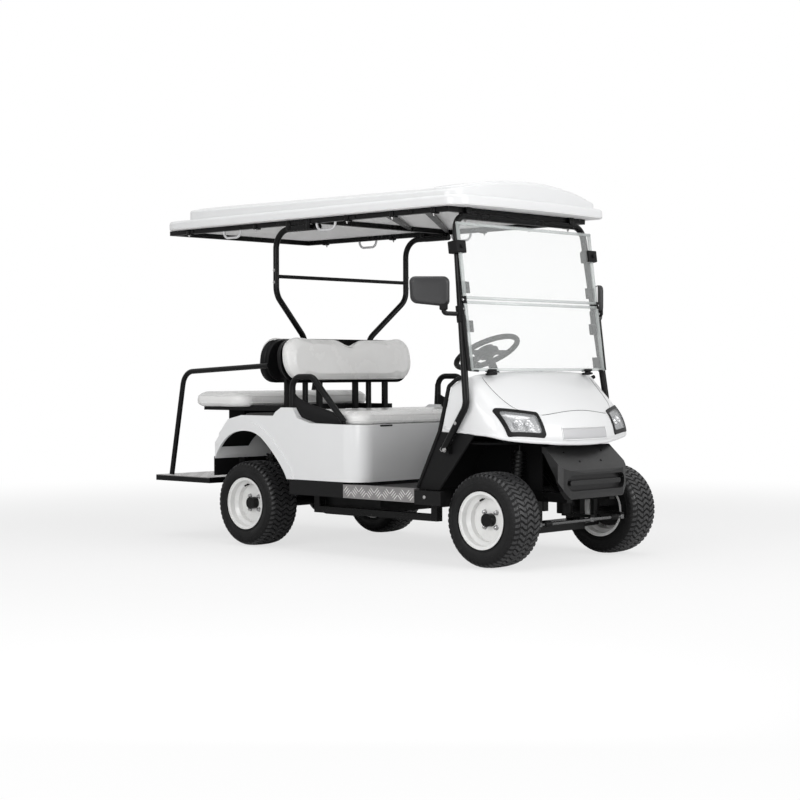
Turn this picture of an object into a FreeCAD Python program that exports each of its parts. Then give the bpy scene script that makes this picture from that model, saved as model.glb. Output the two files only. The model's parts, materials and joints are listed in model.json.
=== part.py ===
import FreeCAD
import Part
import Sketcher
import math
import os

# A four-seat golf cart, parked. +X is forward, +Y the cart's left, +Z up. The origin is on the ground
# under the middle of the whole length. All lengths are millimetres, all angles degrees.

SIZES = {
    # whole cart
    "wheelbase": 1658, "front_reach": 271, "rear_reach": 846, "body_width": 1200, "seat_gap": 0.3,
    "moving_gap": 5, "overrun": 20, "sheet_wall": 5,
    # wheels
    "front_track": 927, "rear_track": 982, "tyre_radius": 229.5, "tyre_width": 205, "tyre_wall": 12,
    "rim_radius": 139, "stud_reach": 60, "rim_width": 194, "rim_wall": 4, "disc_depth": 76,
    "hub_bore": 32, "hub_length": 46, "stud_circle": 101.6, "stud_hole": 13, "drum_radius": 88,
    "drum_length": 34,
    # steering
    "kingpin_distance": 330, "kingpin_radius": 13, "kingpin_height": 120, "kingpin_play": 0.05,
    "spindle_radius": 14, "steering_arm": 169, "arm_thickness": 12, "arm_width": 28,
    "tie_rod_height": 205, "tie_rod_radius": 8, "rod_eye_radius": 15, "rod_eye_height": 20,
    "pitman_distance": 80, "yoke_radius": 22, "yoke_plate": 14, "steering_wheel_radius": 188,
    "steering_rim_radius": 14, "steering_wheel_back": 650, "steering_wheel_height": 1040,
    "steering_wheel_distance": 245, "column_lean": 28.6, "column_radius": 22, "column_length": 560,
    "hub_cap_radius": 45, "hub_cap_height": 24, "spoke_width": 36, "spoke_thickness": 9,
    "gear_case_radius": 38, "pedal_brake": 78, "pedal_go": 212, "gear_case_height": 70,
    "lower_shaft_radius": 10,
    # front suspension
    "beam_width": 90, "beam_height": 50, "beam_top_height": 195, "shock_radius": 27,
    "shock_rod_radius": 8, "shock_length": 300, "shock_inset": 265, "shock_lean": 7, "shock_back": 60,
    "shock_gap": 1.5,
    # rear suspension and drive
    "axle_radius": 34, "diff_radius": 85, "motor_radius": 90, "motor_length": 260, "spring_width": 45,
    "spring_thickness": 9, "spring_span": 620,
    # chassis
    "rail_width": 40, "rail_height": 34, "main_rail_distance": 420, "main_rail_height": 195,
    "main_rail_front": 389, "main_rail_rear": 389, "front_rail_distance": 150,
    "rear_rail_distance": 300, "rear_rail_height": 319,
    # battery
    "battery_length": 400, "battery_width": 780, "battery_height": 275,
    # floor and sills
    "floor_height": 360, "floor_thickness": 8, "floor_front": 415, "sill_height": 68,
    "sill_bottom": 298, "sill_depth": 36, "sill_joint_front": 888, "sill_bracket_length": 174,
    "pod_front_gap": 779, "bright_sill_back": 394,
    # rear body
    "body_bottom": 377, "body_corner": 110, "body_tail": 219, "shoulder_height": 751, "arch_reach": 357,
    "arch_rise": 246, "arch_lip": 9, "arch_lip_width": 46, "arch_liner_gap": 5, "arch_liner_back": 34,
    "seat_frame_height": 42, "deck_thickness": 8, "liner_wall": 6, "tail_panel_bottom": 386,
    "tail_panel_back": 350,
    # front cowl
    "cowl_half_width": 530, "cowl_lip_height": 578, "cowl_height": 360, "cowl_nose": 219,
    "cowl_length": 640, "cowl_nose_sweep": 240, "hood_gap": 0.8, "trim_radius": 10,
    "trim_setback": 15, "side_panel_thickness": 12, "firewall_setback": 14, "firewall_wall": 8,
    # headlights
    "lamp_depth": 34, "lamp_proud": 5, "lamp_reach": 90, "bezel_width": 17, "lens_proud": 2,
    "lens_thickness": 4, "lamp_corner": 14,
    # front apron
    "apron_half_width": 265, "apron_top": 574, "apron_bottom": 322, "apron_recess": 34,
    "recess_half_width": 228, "recess_top": 438, "recess_bottom": 362, "apron_corner": 10,
    "apron_depth": 140.8, "apron_bar_drop": 12, "apron_bar_inset": 26,
    # dash and pedals
    "dash_half_width": 480, "dash_depth": 120, "dash_wall": 6, "cubby_depth": 85, "dash_rim": 18,
    "cubby_rise": 24, "pedal_width": 75, "pedal_height": 110, "pedal_thickness": 12,
    "pedal_arm_radius": 8,
    # posts and roof
    "pillar_radius": 17, "pillar_bend": 75, "pillar_top_half": 500, "pillar_knee_height": 776,
    "pillar_half": 556, "pillar_foot_height": 557, "pillar_top_back": 211, "pillar_knee_back": 92,
    "pillar_foot_back": 240, "roof_tube": 26, "roof_frame_height": 1725, "roof_frame_half": 528,
    "roof_frame_front": 220, "roof_frame_rear": 684, "roof_half_width": 600, "liner_thickness": 4,
    "roof_rim_height": 44, "roof_plateau_height": 89.5, "roof_crown": 70, "roof_fall": 0.68,
    "plateau_fillet": 12, "roof_front": 76, "roof_rear": 671, "roof_bow": 42, "roof_corner": 88,
    "roof_wall": 5, "roof_side_ledge": 22, "roof_front_ledge": 48, "roof_rear_ledge": 168,
    "plateau_corner": 70, "roof_rim_fillet": 18, "roof_swell_height": 11, "roof_swell_front": 62,
    "roof_swell_length": 215, "roof_swell_ledge": 64, "roof_swell_corner": 60, "brace_width": 24,
    "brace_front": 369, "brace_rear": 639, "brace_end_near": 480, "brace_end_far": 170,
    "handle_radius": 6.5, "handle_length": 138, "handle_back": 160, "handle_ahead": 578,
    "handle_drop": 38, "handle_bend": 36, "strut_radius": 16, "strut_bend": 100, "strut_top_half": 505,
    "strut_bottom_half": 247, "strut_back": 169, "strut_shoulder": 1352, "strut_waist": 1120,
    "strut_foot_back": 118, "strut_forward": 479, "crossbar_radius": 10, "crossbar_height": 1450,
    # windshield
    "pane_thickness": 6, "pane_half": 528, "pane_bottom": 938, "pane_fold": 1282, "pane_top": 1662,
    "pane_gap": 6, "clamp_height": 56, "prop_radius": 9, "prop_half": 538.5, "prop_ahead": 23,
    "prop_top": 1210,
    # mirrors
    "mirror_width": 190, "mirror_height": 137, "mirror_depth": 32, "mirror_toe": 43.5,
    "mirror_middle_height": 1325, "mirror_back": 224.5, "mirror_half": 668, "mirror_arm_radius": 8,
    "mirror_corner": 24, "mirror_neck": 62, "mirror_drop": 14, "mirror_ring": 24,
    # seats
    "seat_half_width": 550, "seat_length": 560, "seat_thickness": 70, "seat_corner": 90,
    "seat_front_gap": 40, "back_half_width": 495, "back_thickness": 75, "back_rise": 129,
    "back_height": 242, "back_corner": 110, "back_middle": 118, "back_lean": 7, "shell_thickness": 22,
    "shell_gap": 42, "shell_rim": 10, "post_width": 32, "post_depth": 20, "post_outer_half": 380,
    "post_inner_half": 140, "rear_seat_length": 440, "rear_seat_half": 520, "rear_seat_thickness": 75,
    "rear_seat_front": 101, "seat_rail": 30, "post_foot": 60, "ear_height": 40, "hip_tube_radius": 16,
    "hip_bend": 58, "hip_half": 568, "hip_back": 362, "hip_front": 745, "hip_rise": 161,
    # rear step and rails
    "step_height": 333, "step_front": 371, "step_half_width": 520, "step_tube": 28, "step_plate": 3.7,
    "hand_rail_radius": 14.5, "hand_rail_bend": 90, "hand_rail_rise": 60, "hand_rail_end_rise": 93,
}


class Size:
    """A number together with the formula that it comes from."""

    def __init__(self, number, formula):
        self.number = float(number)
        self.formula = formula

    def __float__(self):
        return self.number

    def __add__(self, other):
        return joined(self, other, "+", self.number + float(other))

    def __radd__(self, other):
        return joined(other, self, "+", float(other) + self.number)

    def __sub__(self, other):
        return joined(self, other, "-", self.number - float(other))

    def __rsub__(self, other):
        return joined(other, self, "-", float(other) - self.number)

    def __mul__(self, other):
        return joined(self, other, "*", self.number * float(other))

    def __rmul__(self, other):
        return joined(other, self, "*", float(other) * self.number)

    def __truediv__(self, other):
        return joined(self, other, "/", self.number / float(other))

    def __neg__(self):
        return joined(0, self, "-", -self.number)


def joined(left, right, sign, number):
    """Two sizes or plain shares put together by one sign of arithmetic."""
    return Size(number, f"({formula_of(left)} {sign} {formula_of(right)})")


def formula_of(value):
    return value.formula if isinstance(value, Size) else repr(float(value))


class Sheet:
    """The driving dimensions: cells of the spreadsheet, read as sizes by their names."""

    def __init__(self, sizes):
        self.cells = doc.addObject("Spreadsheet::Sheet", "Sizes")
        for row, (name, number) in enumerate(sizes.items(), start=1):
            self.cells.set(f"A{row}", name)
            self.cells.set(f"B{row}", str(number))
            self.cells.setAlias(f"B{row}", name)
        doc.recompute()

    def __getattr__(self, name):
        return Size(self.cells.get(name), f"Sizes.{name}")


doc = FreeCAD.newDocument("golf_cart")
dim = Sheet(SIZES)
nodes = {}

# Main stations along the cart, and the two helpers that measure from the axles.
front_axle = (dim.wheelbase + dim.rear_reach - dim.front_reach) / 2
rear_axle = front_axle - dim.wheelbase
nose_end = front_axle + dim.front_reach
tail_end = rear_axle - dim.rear_reach
half_body = dim.body_width / 2
pod_front = rear_axle + dim.pod_front_gap + dim.body_corner * 0.9
# Levels that several pieces share.
fork_top = dim.tyre_radius + dim.kingpin_height / 2 + dim.seat_gap + dim.yoke_plate
front_rail_level = fork_top + dim.seat_gap
roof_frame_low = dim.roof_frame_height - dim.roof_tube / 2
roof_edge_bottom = dim.roof_frame_height + dim.roof_tube / 2 + dim.liner_thickness + 2 * dim.seat_gap
pillar_top = roof_frame_low - dim.pillar_radius - dim.seat_gap
strut_top = roof_frame_low - dim.strut_radius - dim.seat_gap
# The tub's two decks as shares of its height, and the rear one's ends as shares of its length.
SEAT_DECK_SHARE, WING_DECK_SHARE = 0.777, 0.88
DECK_REAR_SHARE, DECK_FRONT_SHARE = 0.19, 0.42
wing_deck = dim.body_bottom + (dim.shoulder_height - dim.body_bottom) * WING_DECK_SHARE
deck_top = wing_deck + dim.seat_gap + dim.deck_thickness
rear_seat_bottom = deck_top + dim.seat_frame_height
seat_bottom = dim.body_bottom + (dim.shoulder_height - dim.body_bottom) * SEAT_DECK_SHARE + dim.seat_gap
back_bottom = dim.shoulder_height + dim.back_rise
back_top = back_bottom + dim.back_height
apron_back = nose_end - dim.apron_depth * 0.3
pane_setback = dim.pillar_radius + dim.sheet_wall + 2 * dim.seat_gap
hub_radius = dim.hub_bore - dim.kingpin_play
gear_case_low = dim.tie_rod_height + dim.rod_eye_height / 2 + dim.arm_thickness + 2 * dim.seat_gap
shelf_level = dim.cowl_lip_height + dim.cowl_height * 0.05
front_rail_top = dim.floor_height - dim.floor_thickness


def node(label, thing):
    """Name a finished sub-part."""
    thing.Label = label
    nodes[label] = thing
    return thing


def bind(thing, slot, size):
    """Tie one property of an object to its formula."""
    thing.setExpression(slot, formula_of(size))


def place(thing, spot, axis=(0, 0, 1), angle=0):
    """Set an object down at a spot, turned about an axis."""
    base = FreeCAD.Vector(*(float(value) for value in spot))
    thing.Placement = FreeCAD.Placement(base, FreeCAD.Rotation(FreeCAD.Vector(*axis), float(angle)))
    for letter, value in zip("xyz", spot):
        bind(thing, f"Placement.Base.{letter}", value)


def vec(spot):
    return FreeCAD.Vector(*(float(value) for value in spot))


def flip(spot):
    """The same spot on the cart's other side."""
    return (spot[0], -spot[1], spot[2])


def box(name, low, high):
    """A block between two opposite corners."""
    block = doc.addObject("Part::Box", name)
    for side, start, end in zip(("Length", "Width", "Height"), low, high):
        bind(block, side, end - start)
    place(block, low)
    return block


TURNS = {"X": ((0, 1, 0), 90), "Y": ((1, 0, 0), -90), "Z": ((0, 0, 1), 0)}


def cylinder(name, spot, along, radius, length):
    """A round bar that starts at a spot and runs along +X, +Y or +Z."""
    bar = doc.addObject("Part::Cylinder", name)
    bind(bar, "Radius", radius)
    bind(bar, "Height", length)
    place(bar, spot, *TURNS[along])
    return bar


def fuse(name, things):
    joined_up = doc.addObject("Part::MultiFuse", name)
    joined_up.Shapes = things
    joined_up.Refine = True
    return joined_up


def cut(name, thing, tools):
    taken = doc.addObject("Part::Cut", name)
    taken.Base = thing
    taken.Tool = tools[0] if len(tools) == 1 else fuse(name + "_tools", tools)
    taken.Refine = True
    return taken


def mirrored(name, thing):
    """A copy on the cart's other side."""
    copy = doc.addObject("Part::Mirroring", name)
    copy.Source = thing
    copy.Base = FreeCAD.Vector(0, 0, 0)
    copy.Normal = FreeCAD.Vector(0, 1, 0)
    return copy


def group(name, things):
    """Like pieces kept together as separate solids."""
    gathered = doc.addObject("Part::Compound", name)
    gathered.Links = things
    return gathered


def both_sides(name, thing):
    return group(name, [thing, mirrored(name + "_other", thing)])


def origin_plane(body, role):
    return next(item for item in body.Origin.OriginFeatures if item.Role == role)


def new_sketch(body, role, offset):
    """A sketch on one of the body's own planes, moved along the plane's normal."""
    sketch = body.newObject("Sketcher::SketchObject", "outline")
    sketch.AttachmentSupport = [(origin_plane(body, role), "")]
    sketch.MapMode = "FlatFace"
    bind(sketch, "AttachmentOffset.Base.z", offset)
    return sketch


def fix(sketch, index, point, spot):
    """Hold one point of a sketch at its two distances from the origin."""
    for kind, value in zip(("DistanceX", "DistanceY"), spot):
        number = sketch.addConstraint(Sketcher.Constraint(kind, -1, 1, index, point, float(value)))
        sketch.setExpression(f"Constraints[{number}]", formula_of(value))


def draw_loop(sketch, corners):
    """A closed outline of straight lines through its corners."""
    first = sketch.GeometryCount
    flat = [FreeCAD.Vector(float(across), float(up), 0) for across, up in corners]
    for start, end in zip(flat, flat[1:] + flat[:1]):
        sketch.addGeometry(Part.LineSegment(start, end), False)
    for step in range(len(corners)):
        following = first + (step + 1) % len(corners)
        sketch.addConstraint(Sketcher.Constraint("Coincident", first + step, 2, following, 1))
    for step, corner in enumerate(corners):
        fix(sketch, first + step, 1, corner)


# The sketcher's number for a circle's middle.
CIRCLE_CENTRE = 3


def draw_circle(sketch, centre, radius):
    spot = FreeCAD.Vector(float(centre[0]), float(centre[1]), 0)
    index = sketch.addGeometry(Part.Circle(spot, FreeCAD.Vector(0, 0, 1), float(radius)), False)
    number = sketch.addConstraint(Sketcher.Constraint("Radius", index, float(radius)))
    sketch.setExpression(f"Constraints[{number}]", formula_of(radius))
    fix(sketch, index, CIRCLE_CENTRE, centre)


def plate(name, role, corners, start, end, holes=(), circles=()):
    """An outline on a plane padded from one distance to another along that plane's own axis."""
    body = doc.addObject("PartDesign::Body", name)
    sketch = new_sketch(body, role, -end if role == "XZ_Plane" else start)
    draw_loop(sketch, corners)
    for hole in holes:
        draw_loop(sketch, hole)
    for centre, radius in circles:
        draw_circle(sketch, centre, radius)
    pad = body.newObject("PartDesign::Pad", "pad")
    pad.Profile = sketch
    bind(pad, "Length", end - start)
    body.Tip = pad
    return body


FULL_TURN = 360


def turned(name, spot, corners, axis="V_Axis"):
    """A profile of (radius, height) spun about the body's own Y axis, which runs through the spot."""
    body = doc.addObject("PartDesign::Body", name)
    sketch = new_sketch(body, "XY_Plane", 0)
    draw_loop(sketch, corners)
    spin = body.newObject("PartDesign::Revolution", "spin")
    spin.Profile = sketch
    spin.ReferenceAxis = (sketch, [axis])
    spin.Angle = FULL_TURN
    body.Tip = spin
    place(body, spot)
    return body


def round_edges(body, radius, chosen):
    """Round the edges of the body's last feature that the test picks."""
    doc.recompute()
    feature = body.Tip
    names = [f"Edge{number}" for number, edge in enumerate(feature.Shape.Edges, start=1) if chosen(edge)]
    fillet = body.newObject("PartDesign::Fillet", "rounding")
    fillet.Base = (feature, names)
    bind(fillet, "Radius", radius)
    body.Tip = fillet
    return body


COSINE_NEARLY_ONE = 0.999


def runs_along(axis):
    """A test for straight edges that run along one axis."""
    direction = FreeCAD.Vector(*axis)

    def chosen(edge):
        if not isinstance(edge.Curve, Part.Line):
            return False
        return abs(edge.Curve.Direction.dot(direction)) > COSINE_NEARLY_ONE

    return chosen


def both(*tests):
    return lambda edge: all(test(edge) for test in tests)


def beyond(letter, limit):
    """A test for edges whose middle lies past a limit along one axis."""
    def chosen(edge):
        return getattr(edge.BoundBox.Center, letter) > float(limit)

    return chosen


def solid(name, shape):
    """A form that is neither padded nor turned, worked out from the sheet's values."""
    feature = doc.addObject("Part::Feature", name)
    feature.Shape = shape
    return feature


def spread(shares, start, spans):
    """Rows of shares turned into places: the start plus each share of its span."""
    return [tuple(first + span * share for first, span, share in zip(start, spans, row))
            for row in shares]


def bent_path(spots, radius):
    """Straight runs joined by tangent arcs of one radius."""
    points = [vec(spot) for spot in spots]
    edges, start = [], points[0]
    for behind, corner, ahead in zip(points, points[1:], points[2:]):
        inward = (behind - corner).normalize()
        outward = (ahead - corner).normalize()
        half = inward.getAngle(outward) / 2
        reach = float(radius) / math.tan(half)
        first, last = corner + inward * reach, corner + outward * reach
        bulge = float(radius) / math.sin(half) - float(radius)
        middle = corner + (inward + outward).normalize() * bulge
        edges += [Part.LineSegment(start, first).toShape(), Part.Arc(first, middle, last).toShape()]
        start = last
    edges.append(Part.LineSegment(start, points[-1]).toShape())
    return Part.Wire(edges)


def tube_shape(spots, radius, bend):
    """A round tube along a bent path."""
    path = bent_path(spots, bend)
    start, heading = vec(spots[0]), vec(spots[1]) - vec(spots[0])
    ring = Part.Wire(Part.Circle(start, heading, float(radius)).toShape())
    return path.makePipeShell([ring], True, True)


def rod_shape(start, end, radius):
    run = vec(end) - vec(start)
    return Part.makeCylinder(float(radius), run.Length, vec(start), run)


def block_shape(low, high):
    span = vec(high) - vec(low)
    return Part.makeBox(span.x, span.y, span.z, vec(low))


def other_side(shape):
    return shape.mirror(FreeCAD.Vector(0, 0, 0), FreeCAD.Vector(0, 1, 0))


def one_solid(shapes):
    """Shapes welded into one clean solid."""
    return shapes[0].multiFuse(shapes[1:]).removeSplitter()


def prism(corners, role, start, end):
    """A straight-sided outline carried between two distances along its plane's normal."""
    lift = {"XY_Plane": lambda a, b, c: (a, b, c), "XZ_Plane": lambda a, b, c: (a, c, b),
            "YZ_Plane": lambda a, b, c: (c, a, b)}[role]
    ring = [vec(lift(first, second, start)) for first, second in corners]
    travel = vec(lift(0, 0, float(end) - float(start)))
    return Part.Face(Part.makePolygon(ring + ring[:1])).extrude(travel)


# Wheels

WHEELS = {
    "front_right": (front_axle, -dim.front_track / 2, dim.tyre_radius),
    "front_left": (front_axle, dim.front_track / 2, dim.tyre_radius),
    "rear_right": (rear_axle, -dim.rear_track / 2, dim.tyre_radius),
    "rear_left": (rear_axle, dim.rear_track / 2, dim.tyre_radius),
}
# Outside of the rim's sheet, from the outboard flange to the inboard one: radius, then half width.
RIM_SHARES = ((1.0, -1.0), (1.0, -0.96), (0.92, -0.93), (0.905, -0.64), (0.78, -0.5),
              (0.78, 0.42), (0.905, 0.55), (0.92, 0.93), (1.0, 0.96), (1.0, 1.0))
# Places in that outline: the outboard bead's seat, the well's corner, the inboard bead's seat, and
# where the disc meets the inside of the well.
BEAD_SEAT, WELL_CORNER, INNER_BEAD, DISC_PLACE = 3, 4, 7, 5
STUDS = 4
# Outside of the tyre from the tread's middle to the bead: radius above the rim, then half width.
TYRE_SHARES = ((1.0, 0.46), (0.97, 0.76), (0.9, 0.93), (0.72, 1.0), (0.4, 1.0), (0.22, 0.95),
               (0.145, 0.86))
# The hollow inside the tyre: width at the bead and at the tread, and how high its wall bends.
BEAD_SHARE, TREAD_SHARE, BEND_SHARE = 0.92, 0.8, 0.4


def rim(name, spot, turn):
    """A pressed steel wheel: one sheet from flange to flange with its disc set deep inside."""
    half = dim.rim_width / 2
    outside = spread(RIM_SHARES, (0, 0), (dim.rim_radius, half))
    inside = [(radius - dim.rim_wall, height) for radius, height in reversed(outside)]
    face = dim.disc_depth - half
    barrel = dim.rim_radius * RIM_SHARES[WELL_CORNER][0] - dim.rim_wall
    disc = [(barrel, face + dim.rim_wall), (dim.hub_bore, face + dim.rim_wall), (dim.hub_bore, face),
            (barrel, face)]
    body = turned(name, spot, outside + inside[:DISC_PLACE] + disc + inside[DISC_PLACE:])
    place(body, spot, (0, 0, 1), turn)
    sketch = new_sketch(body, "XZ_Plane", -(face + dim.overrun))
    diagonal = dim.stud_circle / 2 * math.sqrt(1 / 2)
    draw_circle(sketch, (diagonal, diagonal), dim.stud_hole / 2)
    hole = body.newObject("PartDesign::Pocket", "stud_hole")
    hole.Profile = sketch
    hole.Reversed = True
    hole.Midplane = True
    bind(hole, "Length", dim.stud_reach)
    doc.recompute()
    ring = body.newObject("PartDesign::PolarPattern", "stud_holes")
    ring.Originals = [hole]
    ring.Axis = (origin_line(body, "Y_Axis"), [""])
    ring.Angle = FULL_TURN
    ring.Occurrences = STUDS
    body.Tip = ring
    return body


def origin_line(body, role):
    return next(item for item in body.Origin.OriginFeatures if item.Role == role)


def tyre(name, spot):
    """A tyre's casing, open towards the rim, out to the tips of its tread."""
    seat = dim.rim_radius * RIM_SHARES[BEAD_SEAT][0] + dim.seat_gap
    rise, half = dim.tyre_radius - seat, dim.tyre_width / 2
    near = spread(TYRE_SHARES, (seat, 0), (rise, half))
    bead = (dim.rim_radius * RIM_SHARES[INNER_BEAD][0] + dim.seat_gap,
            dim.rim_width / 2 * BEAD_SHARE - dim.seat_gap)
    far = [(radius, -height) for radius, height in near]
    inner = [(bead[0], bead[1] - dim.tyre_wall), (seat + rise * BEND_SHARE, half - dim.tyre_wall),
             (dim.tyre_radius - 2 * dim.tyre_wall, half * TREAD_SHARE - dim.tyre_wall)]
    hollow = inner + [(radius, -height) for radius, height in reversed(inner)]
    corners = list(reversed(near)) + far + [(bead[0], -bead[1])] + list(reversed(hollow)) + [bead]
    return turned(name, spot, corners)


def make_wheels():
    for place_name, spot in WHEELS.items():
        turn = FULL_TURN / 2 if place_name.endswith("left") else 0
        node(f"rim_{place_name}", rim(f"rim_{place_name}", spot, turn))
        node(f"tyre_{place_name}", tyre(f"tyre_{place_name}", spot))


# Steering

def knuckle(name, side):
    """Kingpin, spindle, drum and forward arm of one front wheel; side is -1 for the cart's right."""
    centre = dim.tyre_radius
    pin = (front_axle, side * dim.kingpin_distance, centre - dim.kingpin_height / 2)
    face = dim.front_track / 2 + dim.rim_width / 2 - dim.disc_depth - dim.rim_wall - dim.moving_gap
    bore = (pin[0], pin[1], pin[2] - dim.overrun)
    post = cylinder(name + "_post", pin, "Z", dim.yoke_radius, dim.kingpin_height)
    low = dim.kingpin_distance if side > 0 else -face
    spindle = cylinder(name + "_spindle", (front_axle, low, centre), "Y", dim.spindle_radius,
                       face - dim.kingpin_distance)
    drum_end = side * face - (dim.drum_length if side > 0 else 0)
    drum = cylinder(name + "_drum", (front_axle, drum_end, centre), "Y", dim.drum_radius,
                    dim.drum_length)
    level = dim.tie_rod_height + dim.rod_eye_height / 2 + dim.seat_gap
    arm = box(name + "_arm", (front_axle, side * dim.kingpin_distance - dim.arm_width / 2, level),
              (front_axle + dim.steering_arm, side * dim.kingpin_distance + dim.arm_width / 2,
               level + dim.arm_thickness))
    eye = (front_axle + dim.steering_arm, side * dim.kingpin_distance, level)
    knob = cylinder(name + "_knob", eye, "Z", dim.arm_width / 2, dim.arm_thickness)
    hub_start = side * face - (0 if side > 0 else dim.hub_length)
    hub = cylinder(name + "_hub", (front_axle, hub_start, centre), "Y", hub_radius, dim.hub_length)
    welded = fuse(name + "_welded", [post, spindle, drum, hub, arm, knob])
    hole = cylinder(name + "_bore", bore, "Z", dim.kingpin_radius,
                    dim.kingpin_height + 2 * dim.overrun)
    return node(name, cut(name, welded, [hole]))


def make_tie_rod():
    """One rod from arm to arm, with an eye at each end and one where the pitman arm holds it."""
    level = dim.tie_rod_height
    x = front_axle + dim.steering_arm
    bar = cylinder("tie_bar", (x, -dim.kingpin_distance, level), "Y", dim.tie_rod_radius,
                   2 * dim.kingpin_distance)
    eyes = [cylinder(f"tie_eye_{number}", (x, y, level - dim.rod_eye_height / 2), "Z",
                     dim.rod_eye_radius, dim.rod_eye_height)
            for number, y in enumerate((-dim.kingpin_distance, dim.pitman_distance, dim.kingpin_distance))]
    node("tie_rod", fuse("tie_rod", [bar] + eyes))


def make_pitman_arm():
    """The drop arm under the steering gear; it is as long as the knuckles' arms."""
    level = dim.tie_rod_height + dim.rod_eye_height / 2 + dim.seat_gap
    spot = (front_axle, dim.pitman_distance, level)
    arm = box("pitman_bar", (front_axle, dim.pitman_distance - dim.arm_width / 2, level),
              (front_axle + dim.steering_arm, dim.pitman_distance + dim.arm_width / 2,
               level + dim.arm_thickness))
    ends = [cylinder("pitman_hub", spot, "Z", dim.arm_width / 2, dim.arm_thickness),
            cylinder("pitman_eye", (front_axle + dim.steering_arm, spot[1], level), "Z",
                     dim.arm_width / 2, dim.arm_thickness)]
    node("pitman_arm", fuse("pitman_arm", [arm] + ends))


def column_axis():
    """Centre of the steering wheel and the unit direction down its column."""
    centre = vec((front_axle - dim.steering_wheel_back, dim.steering_wheel_distance,
                  dim.steering_wheel_height))
    lean = math.radians(float(dim.column_lean))
    return centre, FreeCAD.Vector(math.sin(lean), 0, -math.cos(lean))


def lower_shaft(radius):
    """The bar from the column's lower end to the top of the steering gear."""
    centre, down = column_axis()
    end = centre + down * float(dim.hub_cap_height + dim.seat_gap + dim.column_length)
    top = (front_axle, dim.pitman_distance, gear_case_low + dim.gear_case_height - dim.lower_shaft_radius)
    return rod_shape(end, top, radius)


# How far down the column its bracket holds it.
BRACKET_SHARE = 0.62


def make_steering_column():
    """The jacket under the wheel, a lower shaft and the gear case that it turns."""
    centre, down = column_axis()
    start = centre + down * float(dim.hub_cap_height + dim.seat_gap)
    end = start + down * float(dim.column_length)
    case = Part.makeCylinder(float(dim.gear_case_radius), float(dim.gear_case_height),
                             vec((front_axle, dim.pitman_distance, gear_case_low)))
    jacket = rod_shape(start, end, dim.column_radius)
    joint = Part.makeSphere(float(dim.column_radius), end)
    shaft = lower_shaft(dim.lower_shaft_radius)
    inner_web = dim.front_rail_distance - dim.seat_gap
    mount = block_shape((front_axle - dim.column_radius, dim.pitman_distance,
                         fork_top - dim.gear_case_radius),
                        (front_axle + dim.column_radius, inner_web, fork_top - dim.yoke_plate))
    reach = start + down * float(dim.column_length) * BRACKET_SHARE
    thick = float(dim.column_radius)
    bracket = block_shape((reach.x, reach.y - thick, reach.z - thick),
                          (dash_back(reach.z - thick), reach.y + thick, reach.z))
    column = one_solid([jacket, joint, shaft, case, mount, bracket])
    node("steering_column", solid("steering_column", column))


SPOKE_ANGLES = (90, 180, 270)


def make_steering_wheel():
    """Rim, three spokes and hub, tilted to face the driver."""
    centre, _ = column_axis()
    ring = Part.makeTorus(float(dim.steering_wheel_radius - dim.steering_rim_radius),
                          float(dim.steering_rim_radius))
    hub = Part.makeCylinder(float(dim.hub_cap_radius), float(dim.hub_cap_height * 2),
                            FreeCAD.Vector(0, 0, -float(dim.hub_cap_height)))
    shapes = [ring, hub]
    reach = dim.steering_wheel_radius - dim.steering_rim_radius
    for angle in SPOKE_ANGLES:
        spoke = block_shape((0, -dim.spoke_width / 2, -dim.spoke_thickness / 2),
                            (reach, dim.spoke_width / 2, dim.spoke_thickness / 2))
        spoke.rotate(FreeCAD.Vector(0, 0, 0), FreeCAD.Vector(0, 0, 1), angle)
        shapes.append(spoke)
    wheel = one_solid(shapes)
    wheel.rotate(FreeCAD.Vector(0, 0, 0), FreeCAD.Vector(0, 1, 0), -float(dim.column_lean))
    wheel.translate(centre)
    node("steering_wheel", solid("steering_wheel", wheel))


# Front suspension

def make_front_suspension():
    """A cross beam with a lower arm to each kingpin; each arm ends in a fork round its knuckle."""
    beam = block_shape((front_axle - dim.beam_width / 2, -dim.front_rail_distance - dim.rail_width,
                        dim.beam_top_height - dim.beam_height),
                       (front_axle + dim.beam_width / 2, dim.front_rail_distance + dim.rail_width,
                        dim.beam_top_height))
    shapes = [beam]
    centre = dim.tyre_radius
    play = dim.kingpin_play
    for side in (-1, 1):
        top = centre + dim.kingpin_height / 2 + dim.seat_gap
        bottom = centre - dim.kingpin_height / 2 - dim.seat_gap
        pin_y = side * dim.kingpin_distance
        inner = side * dim.front_rail_distance
        for low in (bottom - dim.yoke_plate, top):
            corners = ((front_axle - dim.beam_width / 2, inner), (front_axle + dim.beam_width / 2, inner),
                       (front_axle + dim.yoke_radius, pin_y), (front_axle - dim.yoke_radius, pin_y))
            shapes.append(prism(corners, "XY_Plane", low, low + dim.yoke_plate))
            shapes.append(Part.makeCylinder(float(dim.yoke_radius), float(dim.yoke_plate),
                                            vec((front_axle, pin_y, low))))
        shapes.append(Part.makeCylinder(float(dim.kingpin_radius - play), float(top - bottom),
                                        vec((front_axle, pin_y, bottom))))
        web = sorted((float(inner), float(side * (dim.front_rail_distance + dim.rail_width))))
        shapes.append(block_shape((front_axle - dim.beam_width / 2, web[0], bottom - dim.yoke_plate),
                                  (front_axle + dim.beam_width / 2, web[1], top + dim.yoke_plate)))
    node("front_suspension", solid("front_suspension", one_solid(shapes)))


# The coil's length and its start, as shares of the whole damper.
COIL_SHARE, COIL_START_SHARE = 0.62, 0.24


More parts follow.
